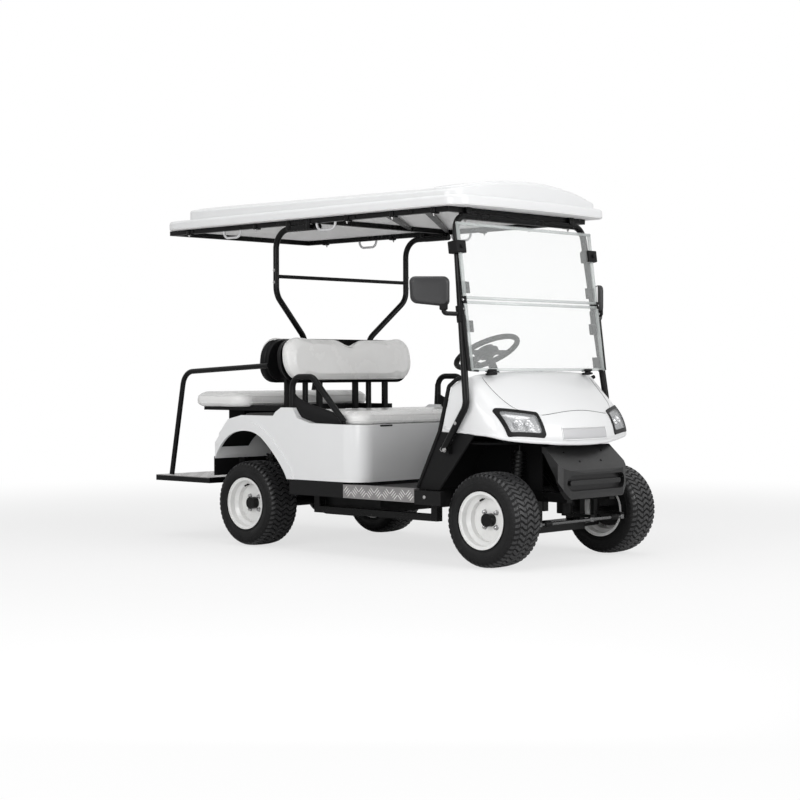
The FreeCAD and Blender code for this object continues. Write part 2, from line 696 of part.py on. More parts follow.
def shock(foot, lean, length):
    """A damper in its coil: rod, wider spring and an eye at each end."""
    foot = vec(foot)
    lean = math.radians(float(lean))
    up = FreeCAD.Vector(0, math.sin(lean), math.cos(lean))
    full = float(length)
    rod = Part.makeCylinder(float(dim.shock_rod_radius), full, foot, up)
    coil = Part.makeCylinder(float(dim.shock_radius), full * COIL_SHARE,
                             foot + up * full * COIL_START_SHARE, up)
    return one_solid([rod, coil])


def make_shock_absorbers():
    """Two coil-over units on the front forks and two on the rear axle."""
    foot = fork_top + dim.shock_gap
    rise = shelf_level - dim.firewall_wall - dim.shock_gap - foot
    front = shock((front_axle - dim.shock_back / 2, -dim.shock_inset, foot), dim.shock_lean,
                  rise / math.cos(math.radians(float(dim.shock_lean))))
    beside = dim.rear_rail_distance + dim.rail_width / 2 + dim.shock_radius + dim.seat_gap
    rear = shock((rear_axle - dim.axle_radius - dim.shock_rod_radius - dim.seat_gap, -beside,
                  dim.tyre_radius), 0, dim.shock_length)
    pieces = [front, other_side(front), rear, other_side(rear)]
    node("shock_absorbers", solid("shock_absorbers", Part.makeCompound(pieces)))


# Rear axle, drive and springs

def make_rear_axle():
    """Axle tube and differential, with the drive motor as a plain block in front of it."""
    face = dim.rear_track / 2 + dim.rim_width / 2 - dim.disc_depth - dim.rim_wall - dim.moving_gap
    centre = (rear_axle, 0, dim.tyre_radius)
    drum_start = face - dim.drum_length
    shapes = [rod_shape((rear_axle, -drum_start, dim.tyre_radius),
                        (rear_axle, drum_start, dim.tyre_radius), dim.axle_radius),
              Part.makeSphere(float(dim.diff_radius), vec(centre))]
    motor = (rear_axle + dim.diff_radius / 2, 0, dim.tyre_radius)
    end = (rear_axle + dim.diff_radius / 2 + dim.motor_length, 0, dim.tyre_radius)
    shapes.append(rod_shape(motor, end, dim.motor_radius))
    node("rear_axle", solid("rear_axle", one_solid(shapes)))
    drums = []
    for side in (-1, 1):
        low = (rear_axle, side * drum_start + (0 if side > 0 else -dim.drum_length), dim.tyre_radius)
        high = (rear_axle, side * drum_start + (dim.drum_length if side > 0 else 0), dim.tyre_radius)
        hub_end = (rear_axle, side * (face + dim.hub_length), dim.tyre_radius)
        drums.append(one_solid([rod_shape(low, high, dim.drum_radius),
                                rod_shape((rear_axle, side * drum_start, dim.tyre_radius), hub_end,
                                          hub_radius)]))
    node("rear_drums", solid("rear_drums", Part.makeCompound(drums)))


def make_leaf_springs():
    """A curved leaf on each side, lying on the axle tube and hung from the rear rails."""
    top = dim.tyre_radius + dim.axle_radius + dim.seat_gap
    half = dim.spring_span / 2
    sag = dim.rear_rail_height - dim.spring_thickness - dim.seat_gap - top
    start = vec((rear_axle - half, 0, top + sag))
    middle = vec((rear_axle, 0, top))
    end = vec((rear_axle + half, 0, top + sag))
    lift = FreeCAD.Vector(0, 0, float(dim.spring_thickness))
    lower = Part.Arc(start, middle, end).toShape()
    upper = Part.Arc(start + lift, middle + lift, end + lift).toShape()
    ends = [Part.LineSegment(end, end + lift).toShape(), Part.LineSegment(start + lift, start).toShape()]
    face = Part.Face(Part.Wire([lower, ends[0], upper, ends[1]]))
    leaf = face.extrude(FreeCAD.Vector(0, float(dim.spring_width), 0))
    leaf.translate(vec((0, -dim.rear_rail_distance - dim.spring_width / 2, 0)))
    node("leaf_springs", solid("leaf_springs", Part.makeCompound([leaf, other_side(leaf)])))


# Chassis

def make_chassis():
    """Box rails: low ones under the floor, narrow ones to the front beam, high ones over the axle."""
    wide, high = dim.rail_width, dim.rail_height
    low_level, front_level, rear_level = dim.main_rail_height, front_rail_level, dim.rear_rail_height
    front_end = front_axle - dim.main_rail_front
    rear_end = rear_axle + dim.main_rail_rear
    outer = dim.main_rail_distance
    shapes = []
    for side in (-1, 1):
        y = side * outer
        shapes.append(block_shape((rear_end, y - wide / 2, low_level),
                                  (front_end, y + wide / 2, low_level + high)))
        for x in (front_end - wide, rear_end):
            shapes.append(block_shape((x, y - wide / 2, low_level),
                                      (x + wide, y + wide / 2, front_rail_top)))
        y = side * (dim.front_rail_distance + wide / 2)
        shapes.append(block_shape((front_end - wide, y - wide / 2, front_level),
                                  (apron_back - dim.seat_gap, y + wide / 2, front_rail_top)))
        y = side * dim.rear_rail_distance
        shapes.append(block_shape((rear_axle - dim.step_front + dim.seat_gap, y - wide / 2, rear_level),
                                  (rear_end + wide, y + wide / 2, rear_level + wide)))
    for x, level in ((front_end - wide, front_level), (rear_end, rear_level)):
        shapes.append(block_shape((x, -outer - wide / 2, level),
                                  (x + wide, outer + wide / 2, front_rail_top)))
    node("chassis_frame", solid("chassis_frame", one_solid(shapes)))


def make_battery():
    """The battery pack: one plain block between the low rails, under the front seat."""
    start = rear_axle + dim.main_rail_rear + dim.rail_width + dim.seat_gap
    low = (start, -dim.battery_width / 2, dim.main_rail_height + dim.rail_height / 2)
    high = (start + dim.battery_length, dim.battery_width / 2,
            dim.main_rail_height + dim.rail_height / 2 + dim.battery_height)
    node("battery_pack", box("battery_pack", low, high))


# Floor and sills

def make_floor():
    """Flat floor from the seat pod to the firewall."""
    low = (pod_front + dim.seat_gap, -half_body + dim.sill_depth + dim.seat_gap,
           dim.floor_height - dim.floor_thickness)
    high = (front_axle - dim.floor_front - dim.firewall_wall - dim.seat_gap,
            half_body - dim.sill_depth - dim.seat_gap, dim.floor_height)
    node("floor_pan", box("floor_pan", low, high))


def make_sills():
    """A bright tread plate along each side of the floor, and the black sill behind and ahead of it."""
    joint = rear_axle + dim.wheelbase - dim.sill_joint_front
    front = front_axle - dim.bright_sill_back
    bright = box("bright_sill", (joint, -half_body, dim.sill_bottom),
                 (front, -half_body + dim.sill_depth, dim.sill_bottom + dim.sill_height))
    node("sill_plates", both_sides("sill_plates", bright))
    rear = rear_axle + dim.main_rail_rear - dim.overrun
    dark = box("dark_sill", (rear, -half_body, dim.sill_bottom),
               (joint - dim.seat_gap, -half_body + dim.sill_depth, dim.body_bottom - dim.seat_gap))
    ahead = box("sill_bracket", (front + dim.seat_gap, -half_body, dim.sill_bottom - dim.rim_wall * 2),
                (front + dim.sill_bracket_length, -half_body + dim.sill_depth,
                 dim.sill_bottom + dim.sill_height - dim.rim_wall * 2))
    node("side_sills", group("side_sills", [dark, mirrored("dark_sill_other", dark), ahead,
                                            mirrored("sill_bracket_other", ahead)]))


# Rear body: side outline from the pod's foot round the top to the tail.
BODY_SHARES = ((1.0, 0.0), (1.0, SEAT_DECK_SHARE), (0.68, 0.79), (0.59, 0.86), (0.56, 1.0), (0.478, 1.0),
               (0.44, 0.94), (DECK_FRONT_SHARE, WING_DECK_SHARE), (DECK_REAR_SHARE, WING_DECK_SHARE),
               (0.09, 0.82), (0.022, 0.61), (0.0, 0.24), (0.0, 0.0))
# The wheel arch seen from the side, tail to front: shares of its reach ahead of the axle and its rise.
ARCH_SHARES = ((-0.7, 0.05), (-0.613, 0.366), (-0.476, 0.667), (-0.244, 0.919), (0.031, 1.0),
               (0.328, 0.943), (0.644, 0.622), (0.86, 0.3), (1.0, 0.0), (1.03, -0.12))


ARCH_STEPS = 16


def arch_shape(grow, start, end):
    """Everything under the wheel arch's smooth curve, grown by a width, between two sides."""
    curve = Part.BSplineCurve()
    curve.interpolate(Points=[vec((x, 0, z)) for x, z in spread(ARCH_SHARES, (rear_axle, dim.body_bottom),
                                                                 (dim.arch_reach, dim.arch_rise))])
    points = curve.discretize(ARCH_STEPS)
    slopes = [ahead - behind for behind, ahead in zip(points[:1] + points[:-1], points[1:] + points[-1:])]
    grown = [point + FreeCAD.Vector(-slope.z, 0, slope.x).normalize() * float(grow)
             for point, slope in zip(points, slopes)]
    edge = Part.BSplineCurve()
    edge.interpolate(Points=grown)
    low = float(dim.body_bottom - dim.arch_reach)
    last, first = grown[-1], grown[0]
    corners = [last, FreeCAD.Vector(last.x, 0, low), FreeCAD.Vector(first.x, 0, low), first]
    sides = [Part.LineSegment(start_at, end_at).toShape() for start_at, end_at in zip(corners, corners[1:])]
    face = Part.Face(Part.Wire([edge.toShape()] + sides))
    block = face.extrude(FreeCAD.Vector(0, float(end) - float(start), 0))
    block.translate(FreeCAD.Vector(0, float(start), 0))
    return block


def make_rear_body():
    """White tub: the seat pod and both rear wings in one moulding, hollow and open below."""
    tail = rear_axle - dim.body_tail
    length = pod_front - tail
    height = dim.shoulder_height - dim.body_bottom
    corners = spread(BODY_SHARES, (tail, dim.body_bottom), (length, height))
    tub = plate("rear_tub", "XZ_Plane", corners, -half_body, half_body)
    round_edges(tub, dim.body_corner, both(runs_along((0, 0, 1)), beyond("x", pod_front - dim.overrun)))
    doc.recompute()
    outer = tub.Shape
    wall = dim.sheet_wall
    inner_corners = spread(BODY_SHARES, (tail + wall, dim.body_bottom - wall),
                           (length - 2 * wall, height))
    inner_corners[-1] = (tail + wall, dim.body_bottom - dim.overrun)
    inner_corners[0] = (pod_front - wall, dim.body_bottom - dim.overrun)
    inner = prism(inner_corners, "XZ_Plane", -half_body + wall, half_body - wall)
    inner_front = vertical_edges_at(inner, pod_front - wall)
    inner = inner.makeFillet(float(dim.body_corner - wall), inner_front)
    seat_back = pod_front - dim.seat_front_gap - dim.seat_length - dim.seat_gap
    recess_low = (seat_back, -dim.seat_half_width - dim.seat_gap, seat_bottom - dim.seat_gap)
    recess_high = (pod_front, dim.seat_half_width + dim.seat_gap, dim.shoulder_height + dim.overrun)
    recess = block_shape(recess_low, recess_high)
    lining = block_shape([value - wall for value in recess_low], [value + wall for value in recess_high])
    lip = arch_shape(dim.arch_lip_width, -half_body - dim.arch_lip, -half_body + wall)
    above = block_shape((tail, -half_body - dim.arch_lip, dim.body_bottom), (pod_front, 0, wing_deck))
    lip = lip.common(above)
    arch = arch_shape(0, -half_body - dim.overrun, half_body + dim.overrun)
    shell = outer.cut(recess).cut(inner.cut(lining))
    shell = one_solid([largest(shell), lip, other_side(lip)]).cut(arch)
    node("rear_body", solid("rear_body", largest(shell)))
    tub.Label = "rear_tub_outer"


def vertical_edges_at(shape, station):
    """Upright straight edges that stand at one station along the cart."""
    return [edge for edge in shape.Edges
            if edge.BoundBox.ZLength > float(dim.rail_height) and edge.BoundBox.XLength < 1
            and abs(edge.BoundBox.XMin - float(station)) < 1 and edge.BoundBox.YLength < 1]


def largest(shape):
    """The biggest solid of a shape."""
    return max(shape.Solids, key=lambda item: item.Volume)


def make_rear_deck():
    """Dark deck between the wings, under the backrests and the rear seat."""
    tail = rear_axle - dim.body_tail
    length = pod_front - tail
    low = (tail + length * DECK_REAR_SHARE, -half_body + dim.sill_depth, deck_top - dim.deck_thickness)
    high = (tail + length * DECK_FRONT_SHARE, half_body - dim.sill_depth, deck_top)
    node("rear_deck", box("rear_deck", low, high))


def make_rear_liner():
    """Black tail panel behind the tub, with an inner wall beside each rear wheel."""
    tail = rear_axle - dim.body_tail - dim.seat_gap
    back = rear_axle - dim.tail_panel_back
    low = dim.tail_panel_bottom
    top = rear_seat_bottom - dim.seat_rail - dim.seat_gap
    half = dim.rear_rail_distance + dim.rail_width / 2 + dim.shock_radius * 2 + dim.overrun
    shapes = [block_shape((back, -half, low), (back + dim.liner_wall, half, top))]
    for side in (-1, 1):
        y = sorted((float(side * half), float(side * (half - dim.liner_wall))))
        shapes.append(block_shape((back, y[0], low), (tail, y[1], top)))
        rail = side * dim.rear_rail_distance
        shapes.append(block_shape((back, rail - dim.rail_width / 2,
                                   dim.rear_rail_height + dim.rail_width + dim.seat_gap),
                                  (back + dim.rail_width, rail + dim.rail_width / 2, low + dim.overrun)))
    near = dim.arch_liner_gap
    skin = -half_body + dim.sheet_wall + dim.seat_gap
    hoop = arch_shape(near + dim.liner_wall, skin, -half).cut(arch_shape(near, skin, -half))
    hoop = hoop.common(block_shape((tail + dim.arch_liner_back, skin, dim.body_bottom),
                                   (rear_axle + 2 * dim.arch_reach, -half, top)))
    shapes += [hoop, other_side(hoop)]
    node("rear_liner", solid("rear_liner", one_solid(shapes)))


# Front cowl: height, nose reach, half width and sweep of each level, from the lip to the windshield.
COWL_SHARES = ((0.0, 0.988, 0.985, 1.0), (0.08, 1.0, 0.99, 1.0), (0.2, 0.989, 1.0, 1.0),
               (0.4, 0.936, 1.0, 1.0), (0.57, 0.83, 1.0, 0.95), (0.73, 0.72, 1.0, 0.85),
               (0.86, 0.626, 0.985, 0.7), (0.95, 0.556, 0.95, 0.5), (1.0, 0.5, 0.88, 0.35))
# Points along a level's straight side: shares of its length, from its rear end forward.
COWL_SIDE_SHARES = (1.0, 0.72, 0.44, 0.18)
# Half of a level seen from above: share of the half width, then share of the sweep back.
COWL_PLAN_SHARES = ((0.0, 0.0), (0.26, 0.05), (0.51, 0.19), (0.78, 0.37), (0.91, 0.5), (0.975, 0.7),
                    (1.0, 1.0))


def cowl_row(share):
    """Points along one level of the cowl: forward along the right side, round the nose and back."""
    up, reach, width, sweep = share
    height = dim.cowl_lip_height + dim.cowl_height * up
    nose = front_axle + dim.cowl_nose - dim.cowl_length * (1 - reach)
    half = dim.cowl_half_width * width
    side = [(nose - dim.cowl_nose_sweep * sweep * drop, -half * across)
            for across, drop in reversed(COWL_PLAN_SHARES)]
    run = side[0][0] - front_axle + dim.cowl_length
    side = [(side[0][0] - run * along, side[0][1]) for along in COWL_SIDE_SHARES] + side
    right = [vec((x, y, height)) for x, y in side]
    return right + [FreeCAD.Vector(point.x, -point.y, point.z) for point in reversed(right[:-1])]


# Degree of the smooth surfaces.
DEGREE = 3


def smooth_surface(rows):
    """A cubic surface drawn smoothly towards a net of points and held at the net's four corners."""
    ends = DEGREE + 1
    knots = [list(range(count - DEGREE + 1)) for count in (len(rows), len(rows[0]))]
    repeats = [[ends] + [1] * (len(row) - 2) + [ends] for row in knots]
    surface = Part.BSplineSurface()
    surface.buildFromPolesMultsKnots(rows, repeats[0], repeats[1], knots[0], knots[1], False, False,
                                     DEGREE, DEGREE)
    return surface


def pole_stations(count):
    """The parameter where each pole of a smooth surface pulls the most."""
    last = count - DEGREE
    knots = [0] * (DEGREE + 1) + list(range(1, last)) + [last] * (DEGREE + 1)
    return [sum(knots[first + 1:first + 1 + DEGREE]) / DEGREE for first in range(count)]


def cowl_layer(proud, deep):
    """A curved layer that follows the cowl's face, from a height above it to a depth below it."""
    rows = [cowl_row(share) for share in COWL_SHARES]
    face = smooth_surface(rows)
    heart = vec((front_axle - dim.cowl_length, 0, dim.floor_height))
    nets = [[], []]
    for row, first in zip(rows, pole_stations(len(rows))):
        for net in nets:
            net.append([])
        for point, second in zip(row, pole_stations(len(row))):
            inward = face.normal(first, second)
            if inward.dot(heart - point) < 0:
                inward = -inward
            nets[0][-1].append(point - inward * float(proud))
            nets[1][-1].append(point + inward * float(deep))
    outer, inner = (smooth_surface(net) for net in nets)
    rims = [Part.makeRuledSurface(near.toShape(), far.toShape())
            for near, far in zip(border_curves(outer), border_curves(inner))]
    shell = Part.makeShell([outer.toShape(), inner.toShape()] + rims)
    shell.sewShape()
    layer = Part.makeSolid(shell)
    if layer.Volume < 0:
        layer.reverse()
    return layer


def border_curves(surface):
    """The four curves round a surface's border."""
    first, last, low, high = surface.bounds()
    return [surface.uIso(first), surface.uIso(last), surface.vIso(low), surface.vIso(high)]


# Rear edge of the cowl seen from the side: distance behind the axle, then height share of the cowl.
TRIM_FOOT, TRIM_WAIST, TRIM_SHOULDER = (-0.652, -0.59), (-0.426, 0.19), (-0.331, 0.8)
TRIM_SHARES = (TRIM_FOOT, TRIM_WAIST, TRIM_SHOULDER, (-0.262, 0.885), (-0.215, 0.92), (-0.16, 1.02))
# Lower edge of the cowl seen from the side, back to front.
LIP_SHARES = (TRIM_WAIST, (0.02, 0.155), (0.16, 0.09), (0.27, 0.03), (0.36, 0.0))


def cowl_spots(shares):
    return spread(shares, (front_axle, dim.cowl_lip_height), (dim.cowl_length, dim.cowl_height))


def make_cowl():
    """The front cowl: a thin lofted moulding, open behind and below, with the hood cut out of it."""
    shell = cowl_layer(0, dim.sheet_wall)
    far_back = front_axle - 2 * dim.cowl_length
    for low, high in zip(cowl_spots(TRIM_SHARES)[1:], cowl_spots(TRIM_SHARES)[2:]):
        behind = [low, high, (far_back, high[1]), (far_back, low[1])]
        shell = shell.cut(prism(behind, "XZ_Plane", -dim.body_width, dim.body_width))
    for rear, front in zip(cowl_spots(LIP_SHARES), cowl_spots(LIP_SHARES)[1:]):
        below = [rear, front, (front[0], -dim.overrun), (rear[0], -dim.overrun)]
        shell = shell.cut(prism(below, "XZ_Plane", -dim.body_width, dim.body_width))
    shell = largest(shell)
    lamps = [lamp_prism(side, dim.seat_gap) for side in (-1, 1)]
    shell = shell.cut(lamps[0]).cut(lamps[1])
    node("hood_panel", solid("hood_panel", largest(shell.common(hood_prism(0)))))
    node("front_cowl", solid("front_cowl", largest(shell.cut(hood_prism(dim.hood_gap)))))


# Half of the hood's outline seen from above: distance from the axle, then half width.
HOOD_SHARES = ((-0.3, 0.8), (-0.08, 0.79), (0.08, 0.72), (0.165, 0.58), (0.21, 0.36), (0.225, 0.0))


def hood_prism(gap):
    """Everything inside the hood's smooth outline, seen from above, widened by a gap."""
    low, high = dim.cowl_lip_height - dim.overrun, dim.cowl_lip_height + dim.cowl_height + dim.overrun
    half = [vec((front_axle + dim.cowl_length * along + gap, -(dim.cowl_half_width * across + gap), low))
            for along, across in HOOD_SHARES]
    half[-1].y = 0
    points = half + [FreeCAD.Vector(point.x, -point.y, point.z) for point in reversed(half[:-1])]
    curve = Part.BSplineCurve()
    curve.interpolate(Points=points)
    ring = Part.Wire([curve.toShape(), Part.LineSegment(points[-1], points[0]).toShape()])
    return Part.Face(ring).extrude(FreeCAD.Vector(0, 0, float(high - low)))


# Headlights: the four corners of the right-hand lamp as distance from the axle, half width and height.
LAMP_SHARES = ((0.0, 0.93, 0.494), (0.136, 0.508, 0.394), (0.2625, 0.511, 0.106), (0.1656, 0.891, 0.156))


def lamp_frame(side):
    """Corners of a lamp flattened on their best plane, the plane's outward normal and their middle."""
    corners = [vec((front_axle + dim.cowl_length * along, side * dim.cowl_half_width * across,
                    dim.cowl_lip_height + dim.cowl_height * up)) for along, across, up in LAMP_SHARES]
    middle = sum(corners, FreeCAD.Vector(0, 0, 0)) * (1 / len(corners))
    first, second, third, fourth = corners
    normal = (third - first).cross(fourth - second).normalize()
    if normal.x < 0:
        normal = -normal
    flat = [corner - normal * (corner - middle).dot(normal) for corner in corners]
    return flat, normal, middle


def lamp_prism(side, grow):
    """The lamp's rounded four-sided outline, grown or shrunk, carried far through the cowl's face."""
    flat, normal, _ = lamp_frame(side)
    ring = Part.Wire(Part.makePolygon(flat + flat[:1]).Edges)
    if abs(float(grow)) > 0:
        ring = ring.makeOffset2D(float(grow), 2)
    reach = float(dim.lamp_reach)
    block = Part.Face(ring).extrude(normal * reach * 2)
    block.translate(normal * -reach)
    upright = [edge for edge in block.Edges if abs(edge.Length - reach * 2) < 1]
    return block.makeFillet(float(dim.lamp_corner), upright)


def make_headlights():
    """A black lamp bowl with a proud rim let into each corner of the cowl, closed by a clear lens."""
    body = cowl_layer(dim.lamp_proud, dim.lamp_depth)
    hollow = cowl_layer(dim.lamp_proud * 2, dim.lamp_depth - dim.lamp_proud)
    glass = cowl_layer(dim.lens_proud, dim.lens_thickness - dim.lens_proud)
    bezels, lenses = [], []
    for side in (-1, 1):
        bowl = largest(body.common(lamp_prism(side, 0)))
        room = largest(hollow.common(lamp_prism(side, -dim.bezel_width)))
        bezels.append(largest(bowl.cut(room)))
        lenses.append(largest(glass.common(lamp_prism(side, -dim.bezel_width - dim.seat_gap))))
    node("headlight_bezels", solid("headlight_bezels", Part.makeCompound(bezels)))
    node("headlight_lenses", solid("headlight_lenses", Part.makeCompound(lenses)))


# Black side panel under the cowl, seen from the side.
SIDE_PANEL_SHARES = ((-0.662, -0.604), (-0.436, 0.183), (-0.103, 0.155), (-0.46, -0.604))


def make_side_panels():
    """Flat black panel below each side of the cowl, with the round trim up the door opening."""
    outer = dim.cowl_half_width
    panel = prism(cowl_spots(SIDE_PANEL_SHARES), "XZ_Plane", -outer, -outer + dim.side_panel_thickness)
    trim_line = [(x - dim.trim_setback, -outer, z) for x, z in cowl_spots(TRIM_SHARES)[:-1]]
    trim = tube_shape(trim_line, dim.trim_radius, dim.overrun)
    piece = one_solid([panel, trim])
    node("cowl_side_panels", solid("cowl_side_panels", Part.makeCompound([piece, other_side(piece)])))


# The shelf's front end as a share of its width at the axle.
SHELF_SHARE = 0.85


def make_firewall():
    """Black inner moulding: sloping firewall, shelf over the wheels and a nose box behind the apron."""
    half = dim.cowl_half_width - dim.side_panel_thickness - dim.trim_radius
    wall = dim.firewall_wall
    shelf = shelf_level
    bottom = dim.floor_height - dim.floor_thickness
    nose = front_axle + dim.cowl_length * LIP_SHARES[2][0] - dim.overrun
    foot, head = (wall_back(height) + dim.firewall_setback for height in (bottom, shelf))
    inner = dim.front_rail_distance + dim.rail_width
    slope = [(foot, bottom), (head, shelf), (head + wall, shelf), (foot + wall, bottom)]
    plan = [(head, -half), (front_axle, -half), (front_axle + dim.shock_back, -half * SHELF_SHARE),
            (front_axle + dim.shock_back, half * SHELF_SHARE), (front_axle, half), (head, half)]
    shapes = [prism(slope, "XZ_Plane", -half, half), prism(plan, "XY_Plane", shelf - wall, shelf),
              block_shape((head, -inner - wall, shelf - wall), (nose, inner + wall, shelf))]
    low = front_rail_top + dim.seat_gap
    wing = [(foot + wall / 2, low), (head + wall / 2, shelf), (nose, shelf), (nose, low)]
    for side in (-1, 1):
        y = sorted((float(side * inner), float(side * (inner + wall))))
        shapes.append(prism(wing, "XZ_Plane", y[0], y[1]))
    panel = one_solid(shapes)
    centre, down = column_axis()
    passage = rod_shape(centre, centre + down * float(dim.column_length * 2),
                        dim.column_radius + dim.seat_gap)
    panel = panel.cut(passage).cut(lower_shaft(dim.lower_shaft_radius + dim.sheet_wall))
    node("front_inner_panel", solid("front_inner_panel", largest(panel)))


# Front apron seen from the side: share of its depth, then of its height.
APRON_SHARES = ((0.0, 1.0), (0.1, 1.0), (0.84, 0.62), (0.97, 0.55), (1.0, 0.5), (1.0, 0.09),
                (0.96, 0.0), (0.7, 0.0), (0.7, 0.2), (0.62, 0.42), (0.1, 0.86), (0.0, 0.9))
# Half of the apron seen from the front: share of its half width, then of its height.
APRON_FRONT_SHARES = ((0.98, 1.0), (1.0, 0.62), (1.0, 0.34), (0.93, 0.16), (0.78, 0.0))
# Half of the apron seen from above: share of its half width, then of its depth.
APRON_PLAN_SHARES = ((1.0, 0.0), (1.0, 0.72), (0.94, 0.88), (0.8, 0.965), (0.4, 1.0))


def both_halves(half):
    """A closed outline from one half of it, given from top to bottom on the +Y side."""
    return list(half) + [(-across, along) for across, along in reversed(half)]


def slot_shape(half, low, high, start, end):
    """A long slot with round ends, seen from the front, carried between two stations."""
    radius = (high - low) / 2
    middle = low + radius
    side = half - radius
    ends = [rod_shape((start, y, middle), (end, y, middle), radius) for y in (-side, side)]
    return one_solid([block_shape((start, -side, low), (end, side, high))] + ends)


def make_apron():
    """Black bumper apron: a sloping face that rounds over to a lip, with a barred slot in its front."""
    depth = dim.apron_depth
    height = dim.apron_top - dim.apron_bottom
    half = dim.apron_half_width
    back = nose_end - depth
    corners = spread(APRON_SHARES, (back, dim.apron_bottom), (depth, height))
    body = plate("apron_sheet", "XZ_Plane", corners, -half, half)
    body = round_edges(body, dim.apron_corner, both(runs_along((0, 1, 0)),
                                                    beyond("x", nose_end - dim.apron_recess)))
    doc.recompute()
    front = both_halves(spread(APRON_FRONT_SHARES, (0, dim.apron_bottom), (half, height)))
    plan = both_halves(spread(APRON_PLAN_SHARES, (0, back), (half, depth)))
    sheet = body.Shape.common(prism(front, "YZ_Plane", back - dim.overrun, nose_end + dim.overrun))
    sheet = sheet.common(prism([(x, y) for y, x in plan], "XY_Plane", dim.apron_bottom - dim.overrun,
                               dim.apron_top + dim.overrun))
    start, end = nose_end - dim.apron_recess, nose_end + dim.overrun
    slot = slot_shape(dim.recess_half_width, dim.recess_bottom, dim.recess_top, start, end)
    inset = dim.apron_bar_inset
    bar = slot_shape(dim.recess_half_width - inset, dim.recess_bottom + inset, dim.recess_top - inset,
                     start - dim.sheet_wall, nose_end - dim.apron_bar_drop)
    node("front_apron", solid("front_apron", one_solid([largest(sheet.cut(slot)), bar])))


# Dash and pedals

def along_trim(low, high, height):
    """Just ahead of a stretch of the trim, at one height."""
    return low[0] + (high[0] - low[0]) * float((height - low[1]) / (high[1] - low[1])) + dim.trim_radius


def dash_back(height):
    """Where the dash's rear face is at one height."""
    return along_trim(*cowl_spots((TRIM_WAIST, TRIM_SHOULDER)), height)


def wall_back(height):
    """Where the trim's lower stretch is at one height, which the firewall follows."""
    return along_trim(*cowl_spots((TRIM_FOOT, TRIM_WAIST)), height)


# Each cubby's two sides as shares of the dash's half width.
CUBBY_SHARES = (0.3, 0.8)


def make_dash():
    """Sloping dash panel that closes the cowl behind, with an open cubby on each side."""
    bottom = shelf_level + dim.seat_gap
    top = dim.cowl_lip_height + dim.cowl_height * TRIM_SHOULDER[1]
    foot, head = dash_back(bottom), dash_back(top)
    wall = dim.dash_wall
    corners = [(foot, bottom), (head, top), (head + dim.dash_rim, top), (foot + dim.dash_rim, bottom)]
    panel = prism(corners, "XZ_Plane", -dim.dash_half_width, dim.dash_half_width)
    boxes, holes = [], []
    for side in (-1, 1):
        near, far = sorted(float(side * dim.dash_half_width * share) for share in CUBBY_SHARES)
        low = (foot, near, bottom + dim.cubby_rise)
        high = (foot + dim.cubby_depth, far, bottom + dim.dash_depth)
        boxes.append(block_shape(low, high))
        holes.append(block_shape((foot - dim.cubby_depth, near + float(wall), low[2] + wall),
                                 (high[0] - wall, far - float(wall), high[2] - wall)))
    body = one_solid([panel] + boxes).cut(holes[0]).cut(holes[1])
    behind = [(foot, bottom - dim.overrun), (head, top + dim.overrun),
              (foot - dim.dash_depth, top + dim.overrun), (foot - dim.dash_depth, bottom - dim.overrun)]
    trim_back = prism(behind, "XZ_Plane", -dim.body_width, dim.body_width)
    node("dash_panel", solid("dash_panel", largest(body.cut(trim_back))))


def make_pedals():
    """Accelerator and brake: pads on arms that come up from the floor."""
    pads = []
    for y in (dim.pedal_brake, dim.pedal_go):
        x = front_axle - dim.floor_front - dim.firewall_wall - 2 * dim.overrun - dim.pedal_thickness
        low = dim.floor_height + dim.seat_gap
        stem = rod_shape((x, y, low), (x, y, low + dim.pedal_height), dim.pedal_arm_radius)
        pad = block_shape((x - dim.pedal_thickness, y - dim.pedal_width / 2, low + dim.overrun),
                          (x, y + dim.pedal_width / 2, low + dim.pedal_height))
        pads.append(one_solid([stem, pad]))
    node("pedals", solid("pedals", Part.makeCompound(pads)))


# Pillars, windshield and mirrors

def pillar_line():
    """Half of the front hoop, from its foot up to the top corner on the cart's right."""
    return [(front_axle - dim.pillar_foot_back, -dim.pillar_half, dim.pillar_foot_height),
            (front_axle - dim.pillar_knee_back, -dim.pillar_half, dim.pillar_knee_height),
            (front_axle - dim.pillar_top_back, -dim.pillar_top_half, pillar_top)]


def make_pillars():
    """One bent hoop of tube: both front pillars and the bar across their tops."""
    right = pillar_line()
    spots = right + [flip(spot) for spot in reversed(right)]
    hoop = tube_shape(spots, dim.pillar_radius, dim.pillar_bend)
    foot = right[0]
    pad = block_shape((foot[0] - dim.pillar_radius, foot[1], foot[2] - dim.pillar_radius),
                      (foot[0] + dim.pillar_radius * 2, -dim.cowl_half_width - dim.seat_gap,
                       foot[2] + dim.pillar_radius * 2))
    ahead = dim.prop_ahead
    low, high = dim.pane_bottom + dim.moving_gap, dim.prop_top
    prop = rod_shape((pillar_at(low)[0] + ahead, -dim.prop_half, low),
                     (pillar_at(high)[0] + ahead, -dim.prop_half, high), dim.prop_radius)
    shapes = [hoop, pad, other_side(pad), prop, other_side(prop)]
    for height in spread(CLAMP_SHARES, (dim.pane_bottom,), (dim.pane_top - dim.pane_bottom,)):
        clamp = pane_clamp(height[0])
        shapes += [clamp, other_side(clamp)]
    node("front_pillars", solid("front_pillars", one_solid(shapes)))


# Heights of the windshield's clamps as shares of the glass.
CLAMP_SHARES = ((0.06,), (0.3,), (0.56,), (0.83,))


def pane_clamp(height):
    """A block on the right-hand pillar that reaches forward to the back of the glass."""
    low, high = height - dim.clamp_height / 2, height + dim.clamp_height / 2
    reach = pane_setback - dim.seat_gap
    corners = [(pillar_at(low)[0], low), (pillar_at(low)[0] + reach, low),
               (pillar_at(high)[0] + reach, high), (pillar_at(high)[0], high)]
    return prism(corners, "XZ_Plane", pillar_at(height)[1], -dim.pane_half + dim.clamp_height)


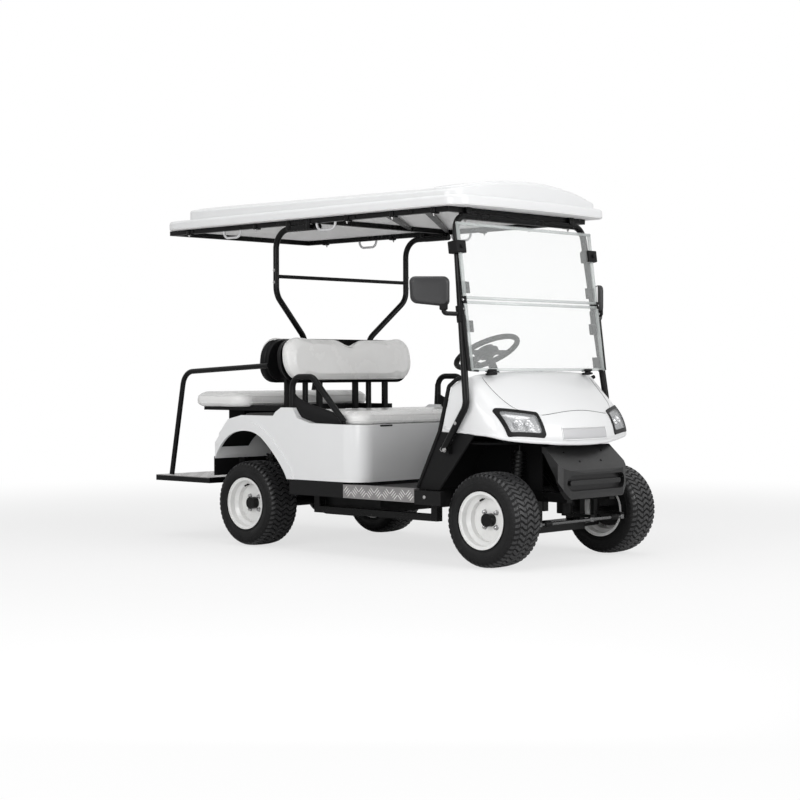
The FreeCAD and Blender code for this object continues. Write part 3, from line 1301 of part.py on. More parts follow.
def pillar_at(height):
    """Where the pillar's centre line is at one height."""
    knee, top = pillar_line()[1:]
    share = (height - knee[2]) / (top[2] - knee[2])
    return knee[0] + (top[0] - knee[0]) * float(share), knee[1] + (top[1] - knee[1]) * float(share)


def make_windshield():
    """Two clear panes in front of the pillars that meet at the fold, and their black clamps."""
    ahead = pane_setback
    panes = []
    for low, high in ((dim.pane_bottom, dim.pane_fold - dim.pane_gap / 2),
                      (dim.pane_fold + dim.pane_gap / 2, dim.pane_top)):
        x_low, x_high = pillar_at(low)[0] + ahead, pillar_at(high)[0] + ahead
        corners = [(x_low, low), (x_low + dim.pane_thickness, low),
                   (x_high + dim.pane_thickness, high), (x_high, high)]
        panes.append(prism(corners, "XZ_Plane", -dim.pane_half, dim.pane_half))
    node("windshield_panes", solid("windshield_panes", Part.makeCompound(panes)))


def make_mirrors():
    """A black mirror head on a short arm at each pillar, turned in towards the driver."""
    head = block_shape((-dim.mirror_depth / 2, -dim.mirror_width / 2, -dim.mirror_height / 2),
                       (dim.mirror_depth / 2, dim.mirror_width / 2, dim.mirror_height / 2))
    upright = [edge for edge in head.Edges if edge.BoundBox.XLength > float(dim.mirror_depth) - 1]
    head = head.makeFillet(float(dim.mirror_corner), upright)
    head.rotate(FreeCAD.Vector(0, 0, 0), FreeCAD.Vector(0, 0, 1), -float(dim.mirror_toe))
    centre = (front_axle - dim.mirror_back, -dim.mirror_half, dim.mirror_middle_height)
    head.translate(vec(centre))
    foot_height = dim.mirror_middle_height - dim.mirror_height / 2 - dim.mirror_drop
    x, y = pillar_at(foot_height)
    knee, top = vec(pillar_line()[1]), vec(pillar_line()[2])
    slope = (top - knee).normalize()
    middle = vec((x, y, foot_height))
    half_ring = slope * float(dim.mirror_ring / 2)
    ring = rod_shape(middle - half_ring, middle + half_ring, dim.pillar_radius + dim.sheet_wall)
    hole = rod_shape(middle - half_ring * 2, middle + half_ring * 2, dim.pillar_radius + dim.seat_gap)
    toe = math.radians(float(dim.mirror_toe))
    neck = vec(centre) + FreeCAD.Vector(math.sin(toe), math.cos(toe), 0) * float(dim.mirror_neck)
    under = FreeCAD.Vector(neck.x, neck.y, float(foot_height))
    heading = (under - middle).normalize()
    foot = middle + heading * float(dim.pillar_radius + dim.sheet_wall / 2)
    arm = tube_shape([foot, under, neck], dim.mirror_arm_radius, dim.overrun)
    piece = one_solid([head, arm, ring]).cut(hole)
    node("mirrors", solid("mirrors", Part.makeCompound([piece, other_side(piece)])))


# Roof

def make_roof_frame():
    """Square-tube frame under the canopy: two rails, three cross tubes and two slanting braces."""
    half, wide = dim.roof_frame_half, dim.roof_tube
    low, high = dim.roof_frame_height - wide / 2, dim.roof_frame_height + wide / 2
    front, rear = front_axle - dim.roof_frame_front, rear_axle - dim.roof_frame_rear
    strut = rear_axle + dim.strut_forward
    shapes = []
    for side in (-1, 1):
        y = side * half
        shapes.append(block_shape((rear, y - wide / 2, low), (front, y + wide / 2, high)))
    for x in (rear, strut, front - wide):
        shapes.append(block_shape((x, -half, low), (x + wide, half, high)))
    width = dim.brace_width
    for back, across in ((dim.brace_rear, dim.brace_end_far), (dim.brace_front, dim.brace_end_near)):
        x = front_axle - back
        end = strut + wide
        corners = [(x - width, -half), (x + width, -half), (end + width, across), (end, across)]
        shapes.append(prism(corners, "XY_Plane", low + dim.sheet_wall, high - dim.sheet_wall))
    node("roof_frame", solid("roof_frame", one_solid(shapes)))


def roof_ring(insets, level):
    """The canopy's outline at one level, drawn in at its sides, front and back; the front is bowed."""
    side, ahead, behind = insets
    front, rear = front_axle - dim.roof_front - ahead, rear_axle - dim.roof_rear + behind
    half = dim.roof_half_width - side
    bow = dim.roof_bow
    spots = [(rear, -half), (front - bow, -half), (front, 0), (front - bow, half), (rear, half)]
    right_rear, right_front, nose, left_front, left_rear = [vec((x, y, level)) for x, y in spots]
    edges = [Part.LineSegment(right_rear, right_front), Part.Arc(right_front, nose, left_front),
             Part.LineSegment(left_front, left_rear), Part.LineSegment(left_rear, right_rear)]
    return Part.Wire([edge.toShape() for edge in edges])


def roof_slab(insets, corner, low, high):
    """The canopy's outline padded between two levels, with its upright corners rounded."""
    block = Part.Face(roof_ring(insets, low)).extrude(FreeCAD.Vector(0, 0, float(high) - float(low)))
    upright = [edge for edge in block.Edges if edge.BoundBox.XLength < 1 and edge.BoundBox.YLength < 1]
    return block.makeFillet(float(corner), upright)


def crown(level):
    """Everything under a cambered sheet, highest along the cart's middle and falling to the front."""
    half = dim.roof_half_width
    rear = rear_axle - dim.roof_rear
    left, right = vec((0, half, level)), vec((0, -half, level))
    top = vec((0, 0, level + dim.roof_crown))
    foot = roof_edge_bottom - dim.overrun
    low = [vec((0, -half, foot)), vec((0, half, foot))]
    edges = [Part.Arc(left, top, right), Part.LineSegment(right, low[0]),
             Part.LineSegment(low[0], low[1]), Part.LineSegment(low[1], left)]
    face = Part.Face(Part.Wire([edge.toShape() for edge in edges]))
    run = face.extrude(vec((2 * dim.wheelbase, 0, 0)))
    run.translate(vec((rear - dim.overrun, 0, 0)))
    run.rotate(vec((rear, 0, level)), FreeCAD.Vector(0, 1, 0), float(dim.roof_fall))
    return run


def canopy_form(wall):
    """The canopy's solid outer form, or the hollow inside it when a wall is given."""
    low = roof_edge_bottom
    rim_top = low + dim.roof_rim_height - wall
    plateau = low + dim.roof_plateau_height - wall
    peak = low + dim.roof_plateau_height + 2 * dim.roof_crown
    ledges = (dim.roof_side_ledge + wall, dim.roof_front_ledge + wall, dim.roof_rear_ledge + wall)
    swell_rear = front_axle - dim.roof_front - dim.roof_swell_front - dim.roof_swell_length
    swell_ledges = (dim.roof_swell_ledge + wall, dim.roof_swell_front + wall,
                    swell_rear - rear_axle + dim.roof_rear + wall)
    tray = roof_slab((wall, wall, wall), dim.roof_corner - wall,
                     low - (dim.overrun if float(wall) else 0), rim_top)
    rim_edges = [edge for edge in tray.Edges if edge.BoundBox.ZMin > float(rim_top) - 1]
    tray = tray.makeFillet(float(dim.roof_rim_fillet - wall), rim_edges)
    upper = roof_slab(ledges, dim.plateau_corner - wall, low, peak).common(crown(plateau))
    swell = roof_slab(swell_ledges, dim.roof_swell_corner - wall, low, peak)
    return tray, upper, swell.common(crown(plateau + dim.roof_swell_height))


def rounded_top(form):
    """A cambered form with the edge round its top face rounded."""
    top = max(form.Faces, key=lambda face: face.CenterOfMass.z)
    return form.makeFillet(float(dim.plateau_fillet), top.Edges)


def make_canopy():
    """Moulded roof: a rim all round, a cambered middle and a swell across its front, hollow below."""
    tray, upper, swell = canopy_form(0 * dim.roof_wall)
    upper, swell = rounded_top(upper), rounded_top(swell)
    outer = one_solid([tray, upper, swell])
    shell = outer.cut(one_solid(canopy_form(dim.roof_wall)))
    node("roof_canopy", solid("roof_canopy", largest(shell)))


def make_roof_liner():
    """Flat liner that lies on the roof frame and closes the canopy below."""
    low = roof_edge_bottom - dim.seat_gap - dim.liner_thickness
    inset = dim.roof_wall / 2
    panel = roof_slab((inset, inset, inset), dim.roof_corner, low, low + dim.liner_thickness)
    node("roof_liner", solid("roof_liner", panel))


def make_handles():
    """Four loops to hold on to, hung under the roof rails."""
    top = roof_frame_low - dim.seat_gap
    loops = []
    reach, drop = dim.handle_length / 2, dim.handle_drop
    for x in (rear_axle - dim.handle_back, rear_axle + dim.handle_ahead):
        for side in (-1, 1):
            y = side * dim.roof_frame_half
            spots = [(x - reach, y, top), (x - reach, y, top - drop), (x + reach, y, top - drop),
                     (x + reach, y, top)]
            loops.append(tube_shape(spots, dim.handle_radius, dim.handle_bend))
    node("grab_handles", solid("grab_handles", Part.makeCompound(loops)))


# Rear struts

def strut_line():
    """The right-hand strut, from the deck up behind the seats, out to the roof's width and forward."""
    back = rear_axle + dim.strut_back
    foot = rear_axle + dim.strut_foot_back
    return [(foot, -dim.strut_bottom_half, deck_top + dim.seat_gap),
            (foot, -dim.strut_bottom_half, dim.strut_waist),
            (back, -dim.strut_top_half, dim.strut_shoulder),
            (back, -dim.strut_top_half, strut_top),
            (rear_axle + dim.strut_forward + dim.roof_tube, -dim.strut_top_half, strut_top)]


def make_rear_struts():
    """Two bent struts that carry the roof's rear, and the round bar between them."""
    side = tube_shape(strut_line(), dim.strut_radius, dim.strut_bend)
    bar = rod_shape(strut_at(-1, dim.crossbar_height), strut_at(1, dim.crossbar_height),
                    dim.crossbar_radius)
    node("rear_struts", solid("rear_struts", one_solid([side, other_side(side), bar])))


def strut_at(side, height):
    """The spot on a strut's bent centre line at one height."""
    path = bent_path(strut_line(), dim.strut_bend)
    reach = dim.body_width
    level = prism([(-reach, -reach), (reach, -reach), (reach, 0), (-reach, 0)], "XY_Plane", height,
                  height + dim.seat_gap)
    spot = path.common(level).Vertexes[0].Point
    return (spot.x, -side * spot.y, height)


# Seats

def cushion(name, role, low, high, corner):
    """A plain closed cushion with rounded corners."""
    start = {"XY_Plane": 2, "YZ_Plane": 0}[role]
    across = [letter for letter in (0, 1, 2) if letter != start]
    first, second = across
    corners = [(low[first], low[second]), (high[first], low[second]), (high[first], high[second]),
               (low[first], high[second])]
    body = plate(name, role, corners, low[start], high[start])
    axis = {"XY_Plane": (0, 0, 1), "YZ_Plane": (1, 0, 0)}[role]
    return round_edges(body, corner, runs_along(axis))


def make_front_seat():
    front = pod_front - dim.seat_front_gap
    low = (front - dim.seat_length, -dim.seat_half_width, seat_bottom)
    high = (front, dim.seat_half_width, seat_bottom + dim.seat_thickness)
    node("front_seat_cushion", cushion("front_seat_cushion", "XY_Plane", low, high, dim.seat_corner))


def leaning(body, direction, forward):
    """Hang a backrest piece from the hinge line at its top and lean it; +1 leans its foot forward."""
    pivot = (rear_axle + dim.back_middle + direction * forward, 0, back_top)
    place(body, pivot, (0, 1, 0), -direction * dim.back_lean)
    return body


def make_backrests():
    """Front and rear backrests: each a cushion on a smaller black shell, either side of the posts."""
    half, height = dim.back_half_width, dim.back_height
    near = dim.shell_gap / 2
    rim_size = dim.shell_rim
    shell_low, shell_high = -height + rim_size, -rim_size
    for name, direction in (("front", 1), ("rear", -1)):
        spans = []
        for depth in ((0, dim.shell_thickness), (dim.shell_thickness + dim.seat_gap,
                                                 dim.shell_thickness + dim.back_thickness)):
            spans.append(sorted((direction * depth[0], direction * depth[1]), key=float))
        shell = cushion(f"{name}_shell", "YZ_Plane", (spans[0][0], rim_size - half, shell_low),
                        (spans[0][1], half - rim_size, shell_high), dim.back_corner - rim_size)
        node(f"{name}_backrest_shell", leaning(shell, direction, near))
        pad = cushion(f"{name}_pad", "YZ_Plane", (spans[1][0], -half, -height),
                      (spans[1][1], half, height - height), dim.back_corner)
        node(f"{name}_backrest_cushion", leaning(pad, direction, near))


def shell_back(direction, height):
    """Where the back of a leaning shell is at one height; +1 is the front one."""
    drop = float(back_top - height) * math.tan(math.radians(float(dim.back_lean)))
    near = dim.shell_gap / 2 / math.cos(math.radians(float(dim.back_lean)))
    return rear_axle + dim.back_middle + direction * (near + drop - dim.seat_gap)


# How far out the frame's side rails are, as a share of the rear seat's half width.
FRAME_SHARE = 0.8


def make_seat_frame():
    """Black posts from the deck to both backrest shells, and the frame under the rear seat."""
    middle = rear_axle + dim.back_middle
    back, front = middle - dim.post_depth / 2, middle + dim.post_depth / 2
    base = deck_top + dim.seat_gap
    side_half = dim.rear_seat_half * FRAME_SHARE
    foot = dim.post_foot / 2
    shapes = [block_shape((middle - foot, -side_half, base),
                          (middle + foot, side_half, base + dim.sheet_wall))]
    low = back_bottom + dim.overrun
    high = low + dim.ear_height
    for half in (dim.post_outer_half, dim.post_inner_half):
        for side in (-1, 1):
            y = side * half
            start, end = y - dim.post_width / 2, y + dim.post_width / 2
            shapes.append(block_shape((back, start, base), (front, end, back_top - dim.back_corner)))
            ears = [(shell_back(-1, low), low), (shell_back(1, low), low), (shell_back(1, high), high),
                    (shell_back(-1, high), high)]
            shapes.append(prism(ears, "XZ_Plane", start, end))
    rail = dim.seat_rail
    top = rear_seat_bottom - dim.seat_gap
    seat_front = rear_axle - dim.rear_seat_front
    seat_back = seat_front - dim.rear_seat_length
    for side in (-1, 1):
        y = side * side_half
        shapes.append(block_shape((seat_back + dim.overrun, y - rail / 2, top - rail),
                                  (front, y + rail / 2, top)))
    for x in (seat_back + dim.overrun, seat_front - rail):
        shapes.append(block_shape((x, -side_half, top - rail), (x + rail, side_half, top)))
    frame = one_solid(shapes)
    for side in (-1, 1):
        x, y = strut_line()[0][0], side * dim.strut_bottom_half
        frame = frame.cut(rod_shape((x, y, deck_top), (x, y, top), dim.strut_radius + dim.seat_gap))
    node("seat_frame", solid("seat_frame", frame))


def make_rear_seat():
    front = rear_axle - dim.rear_seat_front
    low = (front - dim.rear_seat_length, -dim.rear_seat_half, rear_seat_bottom)
    high = (front, dim.rear_seat_half, rear_seat_bottom + dim.rear_seat_thickness)
    node("rear_seat_cushion", cushion("rear_seat_cushion", "XY_Plane", low, high, dim.seat_corner))


# How far forward the loop's level top runs, as a share of the loop.
HIP_TOP_SHARE = 0.4


def make_hip_restraints():
    """A black loop at each end of the front seat, from the wing's shoulder to the seat's edge."""
    back = rear_axle + dim.hip_back
    front = rear_axle + dim.hip_front
    top = dim.shoulder_height + dim.hip_rise
    spots = [(back, -dim.hip_half, dim.shoulder_height + dim.seat_gap),
             (back, -dim.hip_half, top),
             (back + (front - back) * HIP_TOP_SHARE, -dim.hip_half, top),
             (front, -dim.hip_half, seat_bottom + dim.hip_tube_radius)]
    loop = tube_shape(spots, dim.hip_tube_radius, dim.hip_bend)
    node("hip_restraints", solid("hip_restraints", Part.makeCompound([loop, other_side(loop)])))


# Rear step and hand rails

def make_rear_step():
    """Tube frame and tread plate that people riding behind put their feet on."""
    low = dim.step_height - dim.step_tube / 2
    high = dim.step_height + dim.step_tube / 2
    front, rear = rear_axle - dim.step_front, tail_end
    half, wide = dim.step_half_width, dim.step_tube
    shapes = []
    for side in (-1, 1):
        y = sorted((float(side * half), float(side * (half - wide))))
        shapes.append(block_shape((rear, y[0], low), (front, y[1], high)))
    for x in (rear, front - wide):
        shapes.append(block_shape((x, -half, low), (x + wide, half, high)))
    node("rear_step", solid("rear_step", one_solid(shapes)))
    node("step_plate", box("step_plate", (rear, -half, high + dim.seat_gap),
                           (front, half, high + dim.seat_gap + dim.step_plate)))


# The hand rail's foot and its knee, as shares of the cart's reach behind the rear axle.
HAND_RAIL_SHARES = ((0.162,), (0.3,))


def make_hand_rails():
    """A bent rail on each side from the step up and forward to the rear backrest."""
    base = dim.step_height + dim.step_tube / 2 + dim.step_plate + dim.hand_rail_radius / 2
    end = rear_axle + dim.back_middle
    half = dim.back_half_width + dim.hand_rail_radius + dim.moving_gap
    foot, knee = spread(HAND_RAIL_SHARES, (tail_end,), (dim.rear_reach,))
    line = [(foot[0], -half, base), (knee[0], -half, back_bottom + dim.hand_rail_rise),
            (end, -half, back_bottom + dim.hand_rail_end_rise)]
    rail = tube_shape(line, dim.hand_rail_radius, dim.hand_rail_bend)
    node("hand_rails", solid("hand_rails", Part.makeCompound([rail, other_side(rail)])))


def make_all():
    make_wheels()
    knuckle("knuckle_right", -1)
    knuckle("knuckle_left", 1)
    make_tie_rod()
    make_pitman_arm()
    make_steering_column()
    make_steering_wheel()
    make_front_suspension()
    make_shock_absorbers()
    make_rear_axle()
    make_leaf_springs()
    make_chassis()
    make_battery()
    make_floor()
    make_sills()
    make_rear_body()
    make_rear_deck()
    make_rear_liner()
    make_cowl()
    make_headlights()
    make_side_panels()
    make_firewall()
    make_apron()
    make_dash()
    make_pedals()
    make_pillars()
    make_windshield()
    make_mirrors()
    make_roof_frame()
    make_canopy()
    make_roof_liner()
    make_handles()
    make_rear_struts()
    make_front_seat()
    make_backrests()
    make_seat_frame()
    make_rear_seat()
    make_hip_restraints()
    make_rear_step()
    make_hand_rails()


def check_and_write():
    """Recompute, refuse anything broken, and write each sub-part to its own file."""
    doc.recompute()
    for thing in doc.Objects:
        broken = [state for state in thing.State if state in ("Invalid", "Error")]
        if broken:
            raise RuntimeError(f"{thing.Label} is {broken}")
    empty = [label for label, thing in nodes.items()
             if thing.Shape.isNull() or not thing.Shape.isValid() or not thing.Shape.Solids]
    if empty:
        raise RuntimeError(f"no valid solid in {empty}")
    os.makedirs("parts", exist_ok=True)
    for label, thing in nodes.items():
        shape = thing.Shape
        shape.exportStep(os.path.join("parts", f"{label}.step"))
        print(f"{label}: {len(shape.Solids)} solids")


make_all()
check_and_write()
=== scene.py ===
import json
import math

import bmesh
import bpy
import numpy as np
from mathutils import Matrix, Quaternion, Vector
from mathutils.bvhtree import BVHTree


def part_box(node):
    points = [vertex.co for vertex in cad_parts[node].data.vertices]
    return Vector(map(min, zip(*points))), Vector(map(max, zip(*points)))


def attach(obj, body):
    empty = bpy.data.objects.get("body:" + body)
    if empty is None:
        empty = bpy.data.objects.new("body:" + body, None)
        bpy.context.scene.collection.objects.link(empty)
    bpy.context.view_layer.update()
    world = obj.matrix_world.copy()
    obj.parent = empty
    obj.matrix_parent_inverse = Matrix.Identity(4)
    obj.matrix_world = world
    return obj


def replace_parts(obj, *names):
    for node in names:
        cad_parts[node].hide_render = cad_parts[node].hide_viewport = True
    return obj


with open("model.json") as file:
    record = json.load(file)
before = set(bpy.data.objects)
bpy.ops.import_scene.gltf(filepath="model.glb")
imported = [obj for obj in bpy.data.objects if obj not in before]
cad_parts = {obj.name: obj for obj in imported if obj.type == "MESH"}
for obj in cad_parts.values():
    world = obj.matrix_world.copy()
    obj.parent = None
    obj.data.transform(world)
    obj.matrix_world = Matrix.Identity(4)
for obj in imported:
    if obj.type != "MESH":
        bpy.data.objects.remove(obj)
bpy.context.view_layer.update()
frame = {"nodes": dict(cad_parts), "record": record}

CART = "cart"
WHEELS = ("front_right", "front_left", "rear_right", "rear_left")
SIDES = ((-1, "right"), (1, "left"))
X_WAY, Y_WAY, Z_WAY = np.eye(3)


# Shapes on grids. A kit is the body that a piece rides on, its material slot and its finish.

def array(values):
    """Values as an array of decimals."""
    return np.asarray(values, dtype=float)


def unit(vectors):
    """Vectors scaled to length one, along the last axis."""
    return vectors / np.maximum(np.linalg.norm(vectors, axis=-1, keepdims=True), 1e-12)


def turns(count):
    """Evenly spaced angles once round a circle."""
    return np.linspace(0, 2 * np.pi, count, endpoint=False)


def softened(path):
    """A closed path with each point drawn towards its neighbours."""
    return (np.roll(path, 1, 0) + 2 * path + np.roll(path, -1, 0)) / 4


def grid_faces(rows, cols, close_rows=False, close_cols=False):
    """Four-sided faces of a grid of points, joined round where it closes."""
    row = np.arange(rows if close_rows else rows - 1)
    col = np.arange(cols if close_cols else cols - 1)
    row, col = np.meshgrid(row, col, indexing="ij")
    next_row, next_col = (row + 1) % rows, (col + 1) % cols
    return np.stack([row * cols + col, row * cols + next_col, next_row * cols + next_col,
                     next_row * cols + col], axis=-1).reshape(-1, 4)


def piece(name, points, faces, kit, smooth=True, merge=1e-7):
    """A finished mesh at the origin: doubled points merged and faces turned out, unless merge is zero."""
    body, slot, paint = kit
    mesh = bpy.data.meshes.new(name)
    mesh.from_pydata(array(points).reshape(-1, 3).tolist(), [], [list(map(int, face)) for face in faces])
    mesh.validate()
    mesh.polygons.foreach_set("use_smooth", [smooth] * len(mesh.polygons))
    mesh.materials.append(paint)
    made = bpy.data.objects.new(name, mesh)
    bpy.context.collection.objects.link(made)
    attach(made, body)
    if merge:
        work = bmesh.new()
        work.from_mesh(mesh)
        bmesh.ops.remove_doubles(work, verts=work.verts, dist=merge)
        bmesh.ops.recalc_face_normals(work, faces=work.faces)
        work.to_mesh(mesh)
        work.free()
    return made


def smooth_path(corners, radius, steps=7):
    """A path through corners: each corner is a quadratic curve from the run before to the run after."""
    corners = array(corners)
    runs = np.diff(corners, axis=0)
    ahead, length = unit(runs), np.linalg.norm(runs, axis=1)
    reach = np.minimum(radius, np.minimum(length[:-1], length[1:]) * 0.49)[:, None]
    share = np.linspace(0, 1, steps)[None, :, None]
    middle = corners[1:-1]
    first, last = ((middle + way)[:, None] for way in (-ahead[:-1] * reach, ahead[1:] * reach))
    bends = first * (1 - share) ** 2 + 2 * middle[:, None] * share * (1 - share) + last * share ** 2
    return np.vstack([corners[:1], bends.reshape(-1, 3), corners[-1:]])


def swept(name, path, profile, kit, closed=False, up=Z_WAY):
    """A profile (across, up) carried along a path: point = path + side * across + normal * up."""
    path, profile = array(path), array(profile)
    heading = unit(np.roll(path, -1, 0) - np.roll(path, 1, 0) if closed else np.gradient(path, axis=0))
    side = np.cross(heading, array(up))
    weak = np.linalg.norm(side, axis=1) < 0.05
    side[weak] = np.cross(heading[weak], X_WAY)
    side = unit(side)
    for step in range(1, len(side)):
        if side[step] @ side[step - 1] < 0:
            side[step] *= -1
    lift = unit(np.cross(side, heading))
    points = path[:, None] + side[:, None] * profile[None, :, :1] + lift[:, None] * profile[None, :, 1:2]
    rows, cols = len(path), len(profile)
    faces = grid_faces(rows, cols, closed, True).tolist()
    if not closed:
        faces += [list(range(cols)), list(range((rows - 1) * cols, rows * cols))]
    return piece(name, points, faces, kit)


def ring(radius, count=12, flat=1.0):
    """A round or oval profile."""
    turn = turns(count)
    return np.stack([radius * np.cos(turn), radius * flat * np.sin(turn)], axis=1)


def oblong(half_across, half_up, corner, steps=4):
    """A rectangle with round corners as (across, up) points."""
    parts = []
    for quarter, sign in enumerate(((1, 1), (-1, 1), (-1, -1), (1, -1))):
        angle = (np.linspace(0, 1, steps) + quarter) * np.pi / 2
        core = np.array(sign) * (half_across - corner, half_up - corner)
        parts.append(np.stack([np.cos(angle), np.sin(angle)], axis=1) * corner + core)
    return np.vstack(parts)


def axes_of(normal, hint=Z_WAY):
    """Two directions square to a normal."""
    normal = unit(array(normal))
    first = np.cross(array(hint), normal)
    if np.linalg.norm(first) < 1e-3:
        first = np.cross(X_WAY, normal)
    first = unit(first)
    return first, np.cross(normal, first), normal


def spun(centre, axis, profile, count):
    """Points of a profile (radius, height) about an axis: point = centre + radius * round + height * axis."""
    first, second, axis = axes_of(axis)
    profile, turn = array(profile), turns(count)
    around = np.cos(turn)[:, None] * first + np.sin(turn)[:, None] * second
    return array(centre) + around[:, None] * profile[None, :, :1] + axis * profile[None, :, 1:2]


def turned(name, centre, axis, profile, kit, count=32, smooth=True):
    """A profile (radius, height) spun about an axis."""
    return piece(name, spun(centre, axis, profile, count), grid_faces(count, len(profile), True), kit, smooth,
                 1e-6)


def stamped(name, places, outline, height, kit, taper=0.8, depth=0.0):
    """Many small raised blocks: each is an outline on a plane, lifted and drawn in a little at its top.

    places is an array of (centre, first axis, second axis, normal), one block each.
    """
    places, outline = array(places), array(outline)
    count = len(outline)
    spread = places[:, None, 1] * outline[None, :, :1] + places[:, None, 2] * outline[None, :, 1:]
    low = places[:, None, 0] + spread - places[:, None, 3] * depth
    high = places[:, None, 0] + spread * taper + places[:, None, 3] * height
    step = np.arange(count)
    sides = np.stack([step, (step + 1) % count, (step + 1) % count + count, step + count], axis=1)
    faces = []
    for start in range(0, len(places) * 2 * count, 2 * count):
        faces += (sides + start).tolist()
        faces += [(step + count + start).tolist(), (step[::-1] + start).tolist()]
    return piece(name, np.concatenate([low, high], axis=1), faces, kit, smooth=False)


def rounded_box(name, middle, size, radius, kit, ways=np.eye(3)):
    """A block with round edges: point = nearest point of the inner block + radius * direction from it."""
    half = array(size) / 2
    radius = min(radius, *(half * 0.99))
    inner_half = half - radius
    share = np.array([1.0, 0.72, 0.42, 0.16]) * radius
    lines = [np.concatenate([-core - share, [-core, core], core + share[::-1]]) for core in inner_half]
    points, faces, start = [], [], 0
    for axis in range(3):
        second, third = (axis + 1) % 3, (axis + 2) % 3
        for sign in (-1, 1):
            cube = np.empty((len(lines[second]), len(lines[third]), 3))
            cube[..., axis] = sign * half[axis]
            cube[..., second] = lines[second][:, None]
            cube[..., third] = lines[third][None]
            inner = np.clip(cube, -inner_half, inner_half)
            points.append((inner + unit(cube - inner) * radius).reshape(-1, 3))
            faces.append(grid_faces(*cube.shape[:2]) + start)
            start += len(points[-1])
    return piece(name, np.vstack(points) @ array(ways) + middle, np.vstack(faces), kit, merge=1e-6)


# Node groups that several finishes share

def node(tree, kind, inputs, **settings):
    """A shader node: settings are its own properties, and each input is a value or a socket to link."""
    made = tree.nodes.new("ShaderNode" + kind)
    for label, value in settings.items():
        setattr(made, label, value)
    for label, value in inputs.items():
        if isinstance(value, bpy.types.NodeSocket):
            tree.links.new(value, made.inputs[label])
        else:
            made.inputs[label].default_value = value
    return made


def sums(tree, operation, *values, clamp=False):
    """One arithmetic node on numbers and sockets."""
    return node(tree, "Math", dict(enumerate(values)), operation=operation, use_clamp=clamp).outputs[0]


def noise(tree, vector, scale, detail=3.0, rough=0.55, stretch=None):
    """A noise pattern on the object's own coordinates, stretched where asked."""
    if stretch is not None:
        vector = node(tree, "Mapping", {"Vector": vector, "Scale": stretch}).outputs[0]
    return node(tree, "TexNoise", {"Vector": vector, "Scale": scale, "Detail": detail,
                                   "Roughness": rough}).outputs[0]


def ranged(tree, value, low, high, start=0.3, end=0.7, **settings):
    """A value that runs from low to high as a mask goes from start to end."""
    return node(tree, "MapRange", {"Value": value, "From Min": start, "From Max": end, "To Min": low,
                                   "To Max": high}, **settings).outputs["Result"]


def moulded_grain(tree, vector, scale, patches):
    """Fine pebbled surface of moulded plastic and powder coat, with a slow change in gloss."""
    cells = node(tree, "TexVoronoi", {"Vector": vector, "Scale": scale}).outputs["Distance"]
    return sums(tree, "MULTIPLY_ADD", cells, 0.6, noise(tree, vector, scale, 2.0)), noise(tree, vector,
                                                                                          patches, 4.0)


def vinyl_grain(tree, vector, scale, crease):
    """Sewn vinyl: leather-like cells and soft creases at two sizes."""
    cells = node(tree, "TexVoronoi", {"Vector": vector, "Scale": scale}, feature="DISTANCE_TO_EDGE")
    edge = sums(tree, "MINIMUM", cells.outputs["Distance"], 0.12)
    creases = noise(tree, vector, crease, 5.0, 0.6)
    folds = noise(tree, vector, 26.0, 3.0, 0.5, (1.0, 0.35, 1.0))
    height = sums(tree, "MULTIPLY_ADD", edge, 0.5, sums(tree, "MULTIPLY", creases, 1.2))
    # The crease noise also leaves the group as a mask of painted shade for the vinyl's colour.
    return sums(tree, "MULTIPLY_ADD", folds, 1.1, height), creases


def road_dust(tree, vector, top, amount):
    """Dust that lies low on the cart: strongest near the ground, broken up by noise."""
    level = sums(tree, "DIVIDE", node(tree, "SeparateXYZ", {0: vector}).outputs["Z"], top)
    fall = sums(tree, "POWER", sums(tree, "SUBTRACT", 1.0, level, clamp=True), 1.6)
    both = sums(tree, "MULTIPLY", fall, noise(tree, vector, 14.0, 6.0, 0.65))
    return [sums(tree, "MULTIPLY", both, amount, clamp=True)]


def soft_wave(tree, vector, scale, peel):
    """The slight waviness of gel coat and sprayed paint over a moulding."""
    slow = noise(tree, vector, scale, 2.0, 0.4)
    return (sums(tree, "MULTIPLY_ADD", noise(tree, vector, peel, 1.0, 0.4), 0.06, slow),
            noise(tree, vector, 3.2, 4.0, 0.6))


def shared(build, inputs, outputs):
    """A shader group: build takes the group and its inputs, and gives the sockets that leave it."""
    group = bpy.data.node_groups.new(build.__name__, "ShaderNodeTree")
    group.interface.new_socket("Vector", in_out="INPUT", socket_type="NodeSocketVector")
    for label, value in inputs.items():
        group.interface.new_socket(label, in_out="INPUT", socket_type="NodeSocketFloat").default_value = value
    for label in outputs:
        group.interface.new_socket(label, in_out="OUTPUT", socket_type="NodeSocketFloat")
    start, end = group.nodes.new("NodeGroupInput"), group.nodes.new("NodeGroupOutput")
    sockets = build(group, *(start.outputs[label] for label in ("Vector", *inputs)))
    for label, socket in zip(outputs, sockets):
        group.links.new(socket, end.inputs[label])
    return group


GRAIN = shared(moulded_grain, {"Scale": 900.0, "Patches": 9.0}, ("Height", "Gloss"))
VINYL = shared(vinyl_grain, {"Scale": 420.0, "Crease": 7.0}, ("Height", "Painted Crease Shade"))
DUST = shared(road_dust, {"Top": 0.5, "Amount": 0.5}, ("Mask",))
WAVE = shared(soft_wave, {"Scale": 26.0, "Peel": 520.0}, ("Height", "Cloud"))
DRY_DUST = (0.50, 0.49, 0.47)


# Finishes. Each pattern gives its tones (mask, colour, colour), gloss (mask, from, to) and relief
# (height, strength, distance).

def use(tree, group, vector, **values):
    """The outputs of one copy of a group with its own values."""
    return node(tree, "Group", {"Vector": vector, **values}, node_tree=group).outputs


def patches(tree, vector, scale, detail, rough, share):
    """A mask of loose patches: share * how far a noise is over one half."""
    over = sums(tree, "SUBTRACT", noise(tree, vector, scale, detail, rough), 0.5, clamp=True)
    return sums(tree, "MULTIPLY", over, share, clamp=True)


